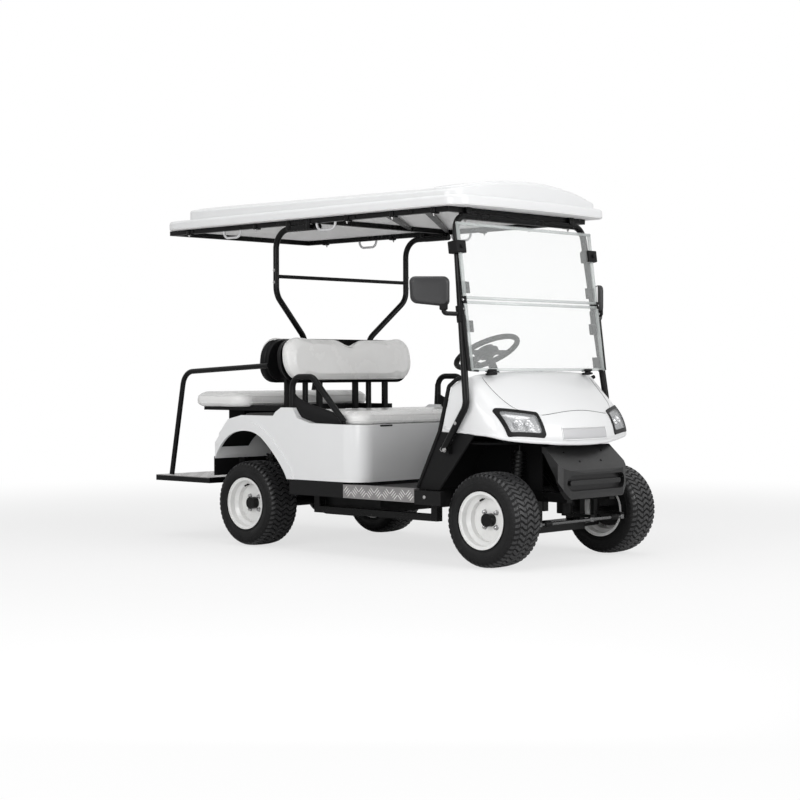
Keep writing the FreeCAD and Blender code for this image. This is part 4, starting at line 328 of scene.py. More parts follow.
def finish(name, colour, rough, pattern, metallic=0.0, shine=0.5, more=()):
    """A material on the object's own coordinates, with what its pattern gives linked to the shader."""
    material = bpy.data.materials.new(name)
    material.use_nodes = True
    tree = material.node_tree
    shader = tree.nodes["Principled BSDF"].inputs
    values = {"Base Color": (*colour, 1.0), "Roughness": rough, "Metallic": metallic,
              "Specular IOR Level": shine, **dict(more)}
    for label, value in values.items():
        shader[label].default_value = value
    tones, gloss, relief = pattern(tree, tree.nodes.new("ShaderNodeTexCoord").outputs["Object"])
    if tones:
        mask, first, second = tones
        blend = node(tree, "Mix", {}, data_type="RGBA")
        blend.inputs["A"].default_value, blend.inputs["B"].default_value = (*first, 1.0), (*second, 1.0)
        tree.links.new(mask, blend.inputs["Factor"])
        tree.links.new(blend.outputs["Result"], shader["Base Color"])
    tree.links.new(ranged(tree, *gloss), shader["Roughness"])
    if relief:
        bump = node(tree, "Bump", dict(zip(("Height", "Strength", "Distance"), relief)))
        tree.links.new(bump.outputs["Normal"], shader["Normal"])
    return material


def gloss_white():
    """Gel-coated body moulding: near-white with a clear coat, faint waviness and dust low down."""
    shade = (0.80, 0.805, 0.81)

    def pattern(tree, vector):
        wave = use(tree, WAVE, vector)
        dust = use(tree, DUST, vector, Top=0.72, Amount=0.35)["Mask"]
        return (dust, shade, DRY_DUST), (wave["Cloud"], 0.28, 0.34), (wave["Height"], 0.05, 0.002)
    return finish("gloss_white_moulding", shade, 0.3, pattern, shine=0.4,
                  more={"Coat Weight": 0.35, "Coat Roughness": 0.05})


def wheel_white():
    """White baked paint on pressed steel, with brake dust gathered in the well."""
    def pattern(tree, vector):
        wave = use(tree, WAVE, vector, Scale=40.0, Peel=700.0)
        dust = patches(tree, vector, 22.0, 6.0, 0.7, 0.9)
        return (dust, (0.82, 0.82, 0.81), DRY_DUST), (wave["Cloud"], 0.22, 0.36), (wave["Height"], 0.08,
                                                                                   0.001)
    return finish("wheel_white_paint", (0.80, 0.80, 0.79), 0.3, pattern, shine=0.4,
                  more={"Coat Weight": 0.25})


def black_finish(name, shade, rough, dusty=0.12, scale=1100.0, relief=0.2, shine=0.14):
    """Black plastic or powder coat with a fine grain, patches of gloss and a little dust low down."""
    colour = (shade, shade, shade * 1.05)

    def pattern(tree, vector):
        grain = use(tree, GRAIN, vector, Scale=scale, Patches=6.0)
        dust = use(tree, DUST, vector, Top=0.6, Amount=dusty)["Mask"]
        return (dust, colour, (0.07, 0.067, 0.063)), (grain["Gloss"], *rough), (grain["Height"], relief,
                                                                                0.0004)
    return finish(name, colour, rough[0], pattern, shine=shine)


def rubber(name="tyre_rubber", shade=0.006, bloom=0.04, rough=(0.42, 0.66), shine=0.22):
    """Tyre rubber: matt black with a dry bloom in patches and moulding grain."""
    plain, dry = (shade, shade, shade * 1.05), (bloom, bloom * 0.98, bloom * 0.93)

    def pattern(tree, vector):
        grain = use(tree, GRAIN, vector, Scale=500.0, Patches=16.0)
        mask = patches(tree, vector, 34.0, 7.0, 0.7, 0.5)
        return (mask, plain, dry), (grain["Gloss"], *rough), (grain["Height"], 0.25, 0.0006)
    return finish(name, plain, 0.6, pattern, shine=shine)


def zinc_steel():
    """Plated steel with drawn lines along the bar and patches of dulled plating."""
    def pattern(tree, vector):
        lines = noise(tree, vector, 60.0, 4.0, 0.6, (14.0, 0.8, 14.0))
        dulled = noise(tree, vector, 18.0, 5.0, 0.6)
        return (dulled, (0.62, 0.62, 0.63), (0.40, 0.39, 0.38)), (dulled, 0.26, 0.44), (lines, 0.12, 0.0003)
    return finish("zinc_plated_steel", (0.55, 0.55, 0.56), 0.3, pattern, 1.0)


def tread_plate(name="tread_plate_shaded_copy", bright=(0.40, 0.39, 0.39), dull=(0.26, 0.25, 0.25)):
    """Rolled aluminium plate with scuffs across it, made in two copies: a dark one for the plate, which is
    painted shade between the raised bars, and a much lighter one for the bars.
    """
    def pattern(tree, vector):
        scuffs = noise(tree, vector, 70.0, 6.0, 0.75, (1.0, 7.0, 1.0))
        return (noise(tree, vector, 12.0, 5.0, 0.6), bright, dull), (scuffs, 0.3, 0.52), (scuffs, 0.12,
                                                                                          0.0003)
    return finish(name, bright, 0.34, pattern, 1.0)


def deck_mat():
    """Dark grey floor mat with ribs that run across the cart."""
    def pattern(tree, vector):
        ribs = node(tree, "TexWave", {"Vector": vector, "Scale": 32.0}, bands_direction="X").outputs["Fac"]
        cloud = noise(tree, vector, 16.0, 6.0, 0.65)
        return (cloud, (0.016, 0.016, 0.017), (0.05, 0.048, 0.046)), (cloud, 0.5, 0.75), (ribs, 0.5, 0.0015)
    return finish("ribbed_floor_mat", (0.03, 0.03, 0.032), 0.7, pattern, shine=0.3)


def roof_lining():
    """Matt grey back of the roof moulding, with the faint weave of glass mat."""
    def pattern(tree, vector):
        fibres = noise(tree, vector, 90.0, 5.0, 0.7)
        cloud = noise(tree, vector, 3.0, 4.0, 0.6)
        return (cloud, (0.93, 0.925, 0.925), (0.84, 0.835, 0.835)), (fibres, 0.5, 0.72), (fibres, 0.25, 0.001)
    return finish("roof_lining_grey", (0.88, 0.875, 0.875), 0.55, pattern, shine=0.35)


def seat_vinyl():
    """Off-white sewn vinyl with grain and soft creases, and painted shade: the colour is a little darker
    where the crease pattern is strong.
    """
    def pattern(tree, vector):
        grain = use(tree, VINYL, vector)
        # Painted shade: the vinyl is darker along the crease pattern.
        return ((grain["Painted Crease Shade"], (0.90, 0.898, 0.89), (0.80, 0.796, 0.785)), (grain["Painted Crease Shade"], 0.16, 0.34),
                (grain["Height"], 0.35, 0.0016))
    return finish("off_white_vinyl", (0.86, 0.857, 0.85), 0.26, pattern,
                  more={"Coat Weight": 0.25, "Coat Roughness": 0.12})


def clear_sheet(name="clear_windshield", colour=(0.90, 0.925, 0.92), rough=0.03, alpha=0.15):
    """Clear acrylic sheet: mostly see-through with a faint haze of fine scratches."""
    def pattern(tree, vector):
        haze = noise(tree, vector, 130.0, 5.0, 0.7, (1.0, 1.0, 0.3))
        return (haze, colour, tuple(value * 0.94 for value in colour)), (haze, rough, rough * 2.6), None
    return finish(name, colour, rough, pattern, more={"Alpha": alpha, "IOR": 1.49})


def lamp_lens():
    """Clear lamp cover with a light moulded ripple."""
    def pattern(tree, vector):
        ripple = noise(tree, vector, 60.0, 2.0, 0.4)
        return None, (ripple, 0.02, 0.08), (ripple, 0.15, 0.0008)
    return finish("clear_lamp_cover", (0.9, 0.92, 0.94), 0.04, pattern, more={"Alpha": 0.16})


def chrome(name="bright_chrome", shade=0.8, rough=(0.06, 0.16)):
    """Bright plating with light pitting."""
    def pattern(tree, vector):
        pits = noise(tree, vector, 220.0, 4.0, 0.6)
        return None, (pits, *rough), (pits, 0.05, 0.0002)
    return finish(name, (shade, shade, shade * 1.01), rough[0], pattern, 1.0)


def plain_grey(name, shade, rough=(0.3, 0.46)):
    """Grey semi-gloss plastic with a very fine grain."""
    def pattern(tree, vector):
        grain = use(tree, GRAIN, vector, Scale=800.0, Patches=12.0)
        return None, (grain["Gloss"], *rough), (grain["Height"], 0.1, 0.0004)
    return finish(name, (shade, shade, shade * 1.02), rough[0], pattern)


FINISH = {
    "body_white": gloss_white(), "wheel_paint": wheel_white(),
    "black_steel": black_finish("satin_black_powder_coat", 0.005, (0.24, 0.36), 0.08, 700.0, 0.1, 0.16),
    "black_plastic": black_finish("black_grained_moulding", 0.0075, (0.36, 0.5)), "tyre": rubber(),
    "bare_steel": zinc_steel(), "tread_plate": tread_plate(), "deck_mat": deck_mat(),
    "roof_lining": roof_lining(), "seat_vinyl": seat_vinyl(), "clear_glass": clear_sheet(),
    "clear_lens": lamp_lens(), "grip_grey": plain_grey("light_grey_grip", 0.62),
}
NUT_STEEL = chrome("dark_chrome", 0.42, (0.12, 0.26))
GREY_PANEL = plain_grey("pale_grey_panel", 0.55)
SOFT_BLACK = black_finish("soft_black_rubber", 0.007, (0.44, 0.6))
LINER_BLACK = black_finish("rough_liner_black", 0.006, (0.72, 0.85), 0.1, 600.0, 0.3, 0.05)
NODE_FINISH = {
    "rear_liner": LINER_BLACK, "front_inner_panel": LINER_BLACK,
    "tie_rod": chrome("oiled_steel", 0.16, (0.2, 0.34)),
    "front_apron": black_finish("sheeny_apron_black", 0.0085, (0.3, 0.42), 0.15, 1100.0, 0.2, 0.45),
}


def kit(slot, paint=None, body=CART):
    """A body, a slot and the slot's own finish, or another."""
    return body, slot, paint or FINISH[slot]


SOFT, MOULDED = kit("black_plastic", SOFT_BLACK), kit("black_plastic")
COATED, PLATED, NUTS = kit("black_steel"), kit("bare_steel"), kit("bare_steel", NUT_STEEL)
WHITE, GREY, VINYL_SKIN = kit("body_white"), kit("body_white", GREY_PANEL), kit("seat_vinyl")
SHEET_EDGE = kit("clear_glass", clear_sheet("clear_sheet_edge", (0.66, 0.70, 0.69), 0.08, 0.5))
MIRROR_GLASS = kit("bare_steel", chrome("mirror_silver", 0.8, (0.02, 0.05)))
MIRROR_BLACK = kit("black_plastic",
                   black_finish("mirror_shell_black", 0.028, (0.34, 0.46), 0.05, 900.0, 0.15, 0.4))
LAMP_TRAY = kit("clear_lens", chrome("lamp_silver", 0.36, (0.26, 0.4)))
LAMP_BOWL = kit("clear_lens", chrome("bowl_silver", 0.6, (0.12, 0.2)))
# The bars are a much lighter copy of the plate's aluminium; the dark plate between them is painted shade.
LIT_TREAD_BARS = kit("tread_plate", tread_plate("tread_bars_lit_copy", (0.90, 0.89, 0.88), (0.74, 0.73, 0.72)))
# The tread blocks take a lighter, glossier copy of the tyre rubber, so the darker casing in the grooves
# between them is painted shade.
LIT_TREAD_RUBBER = rubber("tread_rubber_lit_copy", 0.022, 0.075, (0.36, 0.52), 0.5)


def dress_frame():
    """Every carried-over node takes the finish of its slot, or its own where it has one."""
    slots = {entry["node"]: entry["material_slot"] for entry in frame["record"]["subparts"]}
    for name, made in frame["nodes"].items():
        made.data.materials.clear()
        made.data.materials.append(NODE_FINISH.get(name, FINISH[slots[name]]))


def node_box(name):
    """Lowest and highest corner of a node as arrays."""
    return tuple(np.array(corner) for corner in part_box(name))


def middle_of(name):
    """Centre of a node's box."""
    return sum(node_box(name)) / 2


def surface_of(*names):
    """A finder for points on the carried-over surfaces of these nodes."""
    points, faces = [], []
    for name in names:
        mesh, start = frame["nodes"][name].data, len(points)
        points += [tuple(vertex.co) for vertex in mesh.vertices]
        faces += [[index + start for index in polygon.vertices] for polygon in mesh.polygons]
    return BVHTree.FromPolygons(points, faces)


def first_hit(tree, start, heading):
    """First point of a surface along a line, and the surface's normal there, or nothing twice."""
    return tree.ray_cast(Vector(start), Vector(heading))[:2]


def hit(tree, start, heading, fallback):
    """First point of a surface along a line, and the surface's direction towards the line's start."""
    spot, normal = first_hit(tree, start, heading)
    if spot is None:
        return array(fallback), -array(heading)
    normal = np.array(normal)
    return np.array(spot), -normal if normal @ array(heading) > 0 else normal


dress_frame()
COWL = surface_of("front_cowl", "hood_panel")


# Tyres

TYRE_RADIUS, RIM_SEAT, GROOVE, TREAD_LIFT = 0.2295, 0.1282, 0.0056, 0.0054
PITCHES, BLOCK_HALF, BLOCK_TOP = 50, 0.0102, 0.82
BLOCK_ROWS = ((-0.0708, -0.0247, 11, 1.0), (-0.0228, 0.0228, 11, 1.0), (0.0247, 0.0708, 11, 1.0),
              (0.0730, 0.0945, 5, 0.86), (-0.0945, -0.0730, 5, 0.86))
WAVE_SWING, WAVE_LENGTH, LUG_RADIUS = 0.0084, 0.0660, 0.205
CASING = np.array([[0.0888, RIM_SEAT + 0.0002], [0.0885, 0.1408], [0.0965, 0.1515], [0.1000, 0.1640],
                   [0.1008, 0.1790], [0.0994, 0.1920], [0.0962, 0.2020], [0.0905, 0.2100], [0.0820, 0.2160],
                   [0.0700, 0.2200], [0.0400, 0.2229], [0.0, TYRE_RADIUS - GROOVE]])
CASING_INSIDE = ((-0.0700, 0.1300), (-0.0850, 0.1700), (-0.0700, 0.2050), (0.0700, 0.2050), (0.0850, 0.1700),
                 (0.0700, 0.1300))
SIDEWALL_LINES = ((0.1500, 0.0030, 0.0016), (0.1800, 0.0018, 0.0010))


def casing_radius(across):
    """Radius of the casing's tread at a distance from its middle."""
    tread = CASING[::-1][CASING[::-1][:, 1] > 0.195]
    return np.interp(np.abs(across), tread[:, 0], tread[:, 1])


def tread_wave(across):
    """Sideways swing of the tread's bars over the tyre's width: a cosine that fades at the shoulders."""
    fade = np.clip((0.098 - np.abs(across)) / 0.028, 0, 1)
    return WAVE_SWING * np.cos(across * 2 * np.pi / WAVE_LENGTH) * fade


def wrapped_bars(centre, angles, radii, places):
    """Four-edged bars repeated round Y: point = centre + (radius * sin, place, -radius * cos)."""
    stations = len(angles[0])
    angle = turns(PITCHES)[:, None, None] + array(angles).T
    radius, place = (np.broadcast_to(array(value).T, angle.shape) for value in (radii, places))
    points = np.stack([radius * np.sin(angle), place, -radius * np.cos(angle)], axis=-1) + centre
    last = 4 * stations
    block = np.vstack([grid_faces(stations, 4, False, True), [[0, 1, 2, 3], range(last - 1, last - 5, -1)]])
    return points.reshape(-1, 3), (np.arange(PITCHES)[:, None, None] * last + block).reshape(-1, 4)


def tread_blocks(centre):
    """All blocks of one tyre: top radius = casing radius + lift, which is less at the shoulder."""
    points, faces, start = [], [], 0
    for low, high, stations, share in BLOCK_ROWS:
        across = np.linspace(low, high, stations)
        inner = np.linspace(low + 0.0011, high - 0.0011, stations)
        lift = np.interp(np.abs(across), [0.0, 0.07, 0.095], [TREAD_LIFT, TREAD_LIFT, 0.0042])
        top = np.minimum(casing_radius(across) + lift, TYRE_RADIUS - 0.0001)
        base = casing_radius(across) - 0.0012
        edges = [edge * BLOCK_HALF * share for edge in (-1, -BLOCK_TOP, BLOCK_TOP, 1)]
        angles = [(tread_wave(across) + edge) / TYRE_RADIUS for edge in edges]
        row, blocks = wrapped_bars(centre, angles, (base, top, top, base), (across, inner, inner, across))
        points.append(row)
        faces.append(blocks + start)
        start += len(row)
    return np.vstack(points), np.vstack(faces)


def sidewall_lugs(centre, side):
    """Shoulder lugs that run down onto the sidewall: a wedge whose height fades towards the rim."""
    reach = np.array([0.2110, 0.2050, 0.1990, 0.1935])
    width = np.array([0.0086, 0.0084, 0.0070, 0.0040]) / LUG_RADIUS
    base = np.interp(reach, CASING[:, 1], CASING[:, 0]) - 0.001
    proud = base + np.array([0.0038, 0.0034, 0.0026, 0.0012])
    angles = [edge * width for edge in (-1, -0.8, 0.8, 1)]
    return wrapped_bars(centre, angles, [reach] * 4, [side * depth for depth in (base, proud, proud, base)])


def make_tyre(place):
    """Casing spun round the axle, tread blocks wrapped on it, and lugs and lines on both sidewalls."""
    node_name, body = f"tyre_{place}", f"wheel_{place}"
    centre, black = middle_of(node_name), kit("tyre", body=body)
    loop = np.vstack([CASING, CASING[::-1][1:] * [-1, 1], CASING_INSIDE])[:, ::-1]
    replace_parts(turned(f"tyre_casing_{place}", centre, Y_WAY, loop, black, 96), node_name)
    # Blocks in the lighter rubber copy; the darker casing between them is painted shade in the grooves.
    piece(f"tread_blocks_{place}", *tread_blocks(centre), kit("tyre", LIT_TREAD_RUBBER, body), False)
    for side, label in SIDES:
        piece(f"shoulder_lugs_{place}_{label}", *sidewall_lugs(centre, side), black, False)
        for number, (radius, width, height) in enumerate(SIDEWALL_LINES):
            seat = np.interp(radius, CASING[:, 1], CASING[:, 0])
            line = [[radius + share * width, seat + level]
                    for share,
                    level in ((-1, -0.001), (-0.6, height), (0.6, height), (1, -0.001), (-1, -0.001))]
            turned(f"sidewall_line_{place}_{label}_{number}", centre, Y_WAY * side, line, black, 96)


STUD_CIRCLE = 0.0508
NUT = ((0.0, -0.002), (0.0125, -0.002), (0.0125, 0.0014), (0.0096, 0.0020), (0.0096, 0.0120),
       (0.0080, 0.0150), (0.0046, 0.0168), (0.0, 0.0172))
HUB_CAP = ((0.0, -0.001), (0.0290, -0.001), (0.0292, 0.0026), (0.0272, 0.0036), (0.0262, 0.0014),
           (0.0238, 0.0014), (0.0228, 0.0048), (0.0160, 0.0066), (0.0, 0.0072))
CAP_BOSS = ((0.0, 0.0066), (0.0080, 0.0066), (0.0080, 0.0095), (0.0056, 0.0104), (0.0, 0.0104))


def round_axle(degrees):
    """Direction at an angle round the axle."""
    return np.array([math.cos(math.radians(degrees)), 0, math.sin(math.radians(degrees))])


def make_wheel_fittings(place):
    """Four nuts on their circle, a low black hub cap with a boss, and a bent valve stem."""
    centre, axis = middle_of(f"rim_{place}"), Y_WAY * (-1.0 if place.endswith("right") else 1.0)
    nuts, soft = (kit(slot, paint, f"wheel_{place}") for slot, paint in (("bare_steel", NUT_STEEL),
                                                                         ("black_plastic", SOFT_BLACK)))
    face, _ = hit(surface_of(f"rim_{place}"), centre + axis * 0.12 + X_WAY * 0.068, -axis, centre)
    face = np.array([centre[0], face[1], centre[2]])
    for number in range(4):
        spot = face + round_axle(45 + 90 * number) * STUD_CIRCLE
        turned(f"lug_nut_{place}_{number}", spot, axis, NUT, nuts, 12, smooth=False)
    turned(f"hub_cap_{place}", face, axis, HUB_CAP, soft, 36)
    turned(f"hub_cap_boss_{place}", face, axis, CAP_BOSS, soft, 6, smooth=False)
    spoke = round_axle(105)
    start = centre + axis * 0.030 + spoke * 0.116
    path = smooth_path([start, start - spoke * 0.010 + axis * 0.006, start - spoke * 0.020 + axis * 0.042],
                       0.008)
    swept(f"valve_stem_{place}", path, ring(0.0050, 10), soft, up=X_WAY)


for wheel in WHEELS:
    make_tyre(wheel)
    make_wheel_fittings(wheel)


# Cushions

def rounded_outline(half, corner, arc_steps=14, long_steps=34, short_steps=8):
    """Core points of a rounded rectangle and the direction outwards from each.

    The outline at any inset is core + (corner - inset) * direction.
    """
    core_half = np.asarray(half) - corner
    cores, ways = [], []
    signs = ((1, 1), (-1, 1), (-1, -1), (1, -1))
    for number, sign in enumerate(signs):
        turn = np.linspace(0, np.pi / 2, arc_steps) + number * np.pi / 2
        arc = np.stack([np.cos(turn), np.sin(turn)], axis=1)
        spot, following = core_half * sign, core_half * signs[(number + 1) % 4]
        count = short_steps if number % 2 else long_steps
        share = np.linspace(0, 1, count + 2)[1:-1, None]
        cores += [np.broadcast_to(spot, arc.shape), spot + (following - spot) * share]
        ways += [arc, np.broadcast_to(arc[-1], (count, 2))]
    return np.vstack(cores), np.vstack(ways)


def outline_at(cores, ways, reach, level):
    """A closed line round a rounded rectangle: core + reach * direction, at one level."""
    return np.concatenate([cores + reach * ways, np.full((len(cores), 1), level)], axis=1)


def notch_dip(points, half, notch):
    """How far the upper long edge is let down: depth * cos^1.5 over its middle, growing towards the edge."""
    depth, reach = notch
    across = np.clip(np.abs(points[..., 0]) / reach, 0, 1)
    rise = np.clip(points[..., 1] / half[1], 0, 1) ** 1.6
    return depth * np.cos(across * np.pi / 2) ** 1.5 * rise


def cushion_form(half, thick, corner, roll, crown, notch):
    """Closed stuffed form, face up: nested rounded outlines from the face's middle to the back's.

    height = depth * (1 - (1 - inset / roll)^p)^(1/p) + crown * (1 - u^2) * (1 - v^2)
    """
    cores, ways = rounded_outline(half, corner)
    inset = roll * (1 - np.cos(np.linspace(0, np.pi / 2, 11)))
    shrink = np.linspace(1, 0.02, 16)[1:]
    sheets = []
    for sign, power in ((1, 2.2), (-1, 4.0)):
        rings = [outline_at(cores, ways, corner - value, 0.0) for value in inset]
        level = [(1 - (1 - value / roll) ** power) ** (1 / power) for value in inset] + [1.0] * len(shrink)
        rings = np.array(rings + [rings[-1] * share for share in shrink])
        u, v = rings[..., 0] / half[0], rings[..., 1] / half[1]
        bulge = crown * np.clip(1 - u ** 2, 0, 1) * np.clip(1 - v ** 2, 0, 1)
        depth = thick / 2 - (crown if sign > 0 else 0)
        rings[..., 2] = sign * (depth * np.array(level)[:, None] + (bulge if sign > 0 else 0))
        sheets.append(rings)
    loop = np.concatenate([sheets[0][::-1], sheets[1][1:]])
    if notch[0]:
        loop[..., 1] -= notch_dip(loop, half, notch)
    rows, cols = loop.shape[:2]
    faces = grid_faces(rows, cols, False, True).tolist()
    faces += [list(range(cols)), list(range((rows - 1) * cols, rows * cols))]
    return loop.reshape(-1, 3), faces


def mesh_points(mesh):
    """A mesh's points as an array."""
    flat = np.empty(len(mesh.vertices) * 3)
    mesh.vertices.foreach_get("co", flat)
    return flat.reshape(-1, 3)


def evaluated(made):
    """An object as its modifiers leave it."""
    return made.evaluated_get(bpy.context.evaluated_depsgraph_get())


def applied(made):
    """A mesh of its own with an object's modifiers applied, which takes the object's mesh's place."""
    bpy.context.view_layer.update()
    made_mesh = bpy.data.meshes.new_from_object(evaluated(made))
    made.modifiers.clear()
    made.data = made_mesh
    return made_mesh


CLOTH = {"use_pressure": True, "uniform_pressure_force": 4.0, "quality": 4, "tension_stiffness": 12,
         "compression_stiffness": 12, "bending_stiffness": 0.6}
CLOTH_REACH, CLOTH_FRAMES, VOXEL = 0.014, 20, 0.0095


def stuff(made):
    """Remesh, blow up as cloth, hold each point near where it began, and subdivide once."""
    paint = made.data.materials[0]
    remesh = made.modifiers.new("even", "REMESH")
    remesh.mode = "VOXEL"
    remesh.voxel_size = VOXEL
    even = applied(made)
    even.materials.clear()
    even.materials.append(paint)
    before = mesh_points(even)
    settings = made.modifiers.new("filling", "CLOTH").settings
    for label, value in CLOTH.items():
        setattr(settings, label, value)
    settings.effector_weights.gravity = 0
    for number in range(1, CLOTH_FRAMES + 1):
        bpy.context.scene.frame_set(number)
    after = mesh_points(evaluated(made).data)
    made.modifiers.clear()
    bpy.context.scene.frame_set(1)
    if after.shape == before.shape:
        move = after - before
        length = np.linalg.norm(move, axis=1, keepdims=True)
        before = before + move * np.minimum(1.0, CLOTH_REACH / np.maximum(length, 1e-9))
        even.vertices.foreach_set("co", before.reshape(-1))
    fine = made.modifiers.new("fine", "SUBSURF")
    fine.levels = fine.render_levels = 1
    applied(made)


def sewn_line(name, made, line, centre, ways):
    """Piping on a cushion: each point of a closed line is dropped onto the stuffed surface."""
    tree = BVHTree.FromPolygons([tuple(point) for point in mesh_points(made.data)],
                                [list(polygon.vertices) for polygon in made.data.polygons])
    path = np.array([tree.find_nearest(Vector(point))[0] for point in line @ ways + centre])
    swept(name, softened(softened(path)), ring(0.0030, 8), VINYL_SKIN, closed=True, up=ways[2])


def make_cushion(node_name, centre, ways, half, thick, corner, roll, crown, notch=(0.0, 0.1), seam=0.6,
                 held=0.0):
    """A stuffed cushion in the space its node holds, puckered along its seams, with its piping.

    ways are the directions of its length, its width and its face. Puckers are
    amplitude * sin(place along the edge) * e^(-distance from the edge). What lies lower
    than held above the back is drawn in, to sit in a pan.
    """
    ways, centre, half = array(ways), array(centre), np.asarray(half)
    small, small_corner = half - 0.002, corner - 0.002
    points, faces = cushion_form(small, thick - 0.008, small_corner, roll, crown, notch)
    made = piece(f"stuffed_{node_name}", points @ ways + centre, faces, VINYL_SKIN, merge=1e-5)
    stuff(made)
    local = (mesh_points(made.data) - centre) @ ways.T
    edge = np.minimum(half[0] - np.abs(local[:, 0]), half[1] - np.abs(local[:, 1]))
    fold = np.sin((local[:, 0] + 0.6 * local[:, 1]) * 2 * np.pi / 0.031)
    pucker = fold * np.exp(-np.abs(edge - 0.012) / 0.011)
    sag = np.sin(local[:, 0] * 11.0 + 1.2) * np.sin(local[:, 1] * 23.0 + 0.4) + np.sin(local[:,
                                                                                             0] * 29.0 + 2.0)
    local[:, 2] += np.sign(local[:, 2]) * (0.0007 * pucker + 0.0005 * sag)
    limit = np.array([half[0], half[1], thick / 2]) - 0.0005
    local = np.clip(local, -limit, limit)
    away = np.maximum(np.abs(local[:, :2]) - (half - corner), 0)
    inset = corner - np.linalg.norm(away, axis=1)
    low_down = np.clip((held - 0.001 - (local[:, 2] + thick / 2)) / 0.004, 0, 1)
    pull = np.clip(0.0048 - inset, 0, 1) * low_down * (held > 0)
    local[:, :2] -= np.sign(local[:, :2]) * unit(away) * pull[:, None]
    made.data.vertices.foreach_set("co", (local @ ways + centre).reshape(-1))
    made.data.polygons.foreach_set("use_smooth", [True] * len(made.data.polygons))
    made.data.update()
    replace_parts(made, node_name)
    cores, out = rounded_outline(small, small_corner)
    for label, inset, level in (("face", 0.004, seam * thick / 2), ("back", 0.002, -0.62 * thick / 2)):
        line = outline_at(cores, out, small_corner - inset, level)
        if notch[0]:
            line[:, 1] -= notch_dip(line, small, notch)
        sewn_line(f"piping_{node_name}_{label}", made, line, centre, ways)


LEAN = math.radians(7)
BACK_HALF, BACK_THICK, BACK_NOTCH = (0.4955, 0.1245), 0.0747, (0.040, 0.100)


def make_pan(name, centre, ways, depth):
    """Moulded pan round a backrest's back: nested rounded outlines, out along the wall and back inside."""
    corner = 0.107
    cores, out = rounded_outline((BACK_HALF[0], BACK_HALF[1] - 0.004), corner)
    section = ((0.034, -0.0030), (0.012, -0.0024), (0.005, 0.0006), (0.0016, 0.0070), (0.0, depth - 0.002),
               (0.0006, depth), (0.0026, depth), (0.0034, depth - 0.002), (0.0046, 0.0075), (0.0085, 0.0022),
               (0.034, 0.0010))
    rings = [outline_at(cores, out, corner - inset, level - BACK_THICK / 2) for inset, level in section]
    points = np.array(rings).reshape(-1, 3) @ np.asarray(ways) + centre
    piece(name, points, grid_faces(len(rings), len(cores), True, True), MOULDED)


def make_backrests():
    """Two fat backrest cushions that lean apart at the bottom, notched at the top, each in a moulded pan."""
    for name, forward, hinge_x, depth in (("front", 1, -0.4025, 0.014), ("rear", -1, -0.4445, 0.034)):
        up = np.array([-forward * math.sin(LEAN), 0, math.cos(LEAN)])
        face = np.array([forward * math.cos(LEAN), 0, math.sin(LEAN)])
        centre = np.array([hinge_x, 0, 1.122]) - up * BACK_HALF[1] + face * 0.05965
        ways = (np.cross(up, face), up, face)
        make_cushion(f"{name}_backrest_cushion", centre, ways, BACK_HALF, BACK_THICK, 0.11, 0.048, 0.008,
                     BACK_NOTCH, 0.42, depth)
        make_pan(f"{name}_backrest_pan", centre - up * 0.004, ways, depth)


def make_seats():
    """The two long seat cushions, thick and soft, with piping round the top and bottom edges."""
    for name, corner, sag in (("front", 0.09, 0.0), ("rear", 0.10, 0.009)):
        low, high = node_box(f"{name}_seat_cushion")
        low, high = low - sag, high + [0, sag, 0]
        length, width, thick = (high - low)[[1, 0, 2]]
        make_cushion(f"{name}_seat_cushion", (low + high) / 2, (Y_WAY, -X_WAY, Z_WAY),
                     (length / 2, width / 2), thick, corner, 0.040, 0.010)


make_backrests()
make_seats()


# Tread plate and the ribbed tray

TREAD_HEIGHT, CELL, BARS = 0.0013, 0.056, 4


def tread_bars(name, origin, first, second, normal, size):
    """Groups of parallel raised bars turned by 90 degrees from one cell to the next."""
    counts = [max(1, round(length / CELL)) for length in size]
    step_one, step_two = (length / count for length, count in zip(size, counts))
    column, row, bar = (part.reshape(-1) for part in
                        np.meshgrid(*(np.arange(count) for count in (*counts, BARS)), indexing="ij"))
    turn = np.where((column + row) % 2 == 0, np.pi / 4, -np.pi / 4)[:, None]
    along = np.cos(turn) * first + np.sin(turn) * second
    aside = -np.sin(turn) * first + np.cos(turn) * second
    spacing = CELL / (BARS + 0.3)
    spot = (np.asarray(origin) + ((column + 0.5) * step_one)[:, None] * first
            + ((row + 0.5) * step_two)[:, None] * second
            + aside * ((bar - (BARS - 1) / 2) * spacing)[:, None])
    length, width = CELL * 0.94, spacing * 0.46
    lozenge = np.array([[-0.5, 0], [-0.34, -0.5], [0.34, -0.5], [0.5, 0], [0.34, 0.5],
                        [-0.34, 0.5]]) * (length, width)
    places = np.stack([spot, along, aside, np.broadcast_to(normal, spot.shape)], axis=1)
    stamped(name, places, lozenge, TREAD_HEIGHT, LIT_TREAD_BARS, 0.72, 0.0002)


def make_tread_plates():
    """Raised bars on the step and on the bright half of both sills."""
    low, high = node_box("step_plate")
    tread_bars("step_tread_bars", (low[0] + 0.008, low[1] + 0.008, high[2] - 0.0012), X_WAY, Y_WAY, Z_WAY,
               (high[0] - low[0] - 0.016, high[1] - low[1] - 0.016))
    low, high = node_box("sill_plates")
    for side, label in SIDES:
        tread_bars(f"sill_tread_bars_{label}", (low[0] + 0.004, (high[1] - 0.0012) * side, low[2] + 0.003),
                   X_WAY, Z_WAY, Y_WAY * side, (high[0] - low[0] - 0.008, high[2] - low[2] - 0.006))


def rectangle(half_across, half_up):
    """A plain rectangle as (across, up) points."""
    return np.array([[-1, -1], [1, -1], [1, 1], [-1, 1]]) * (half_across, half_up)


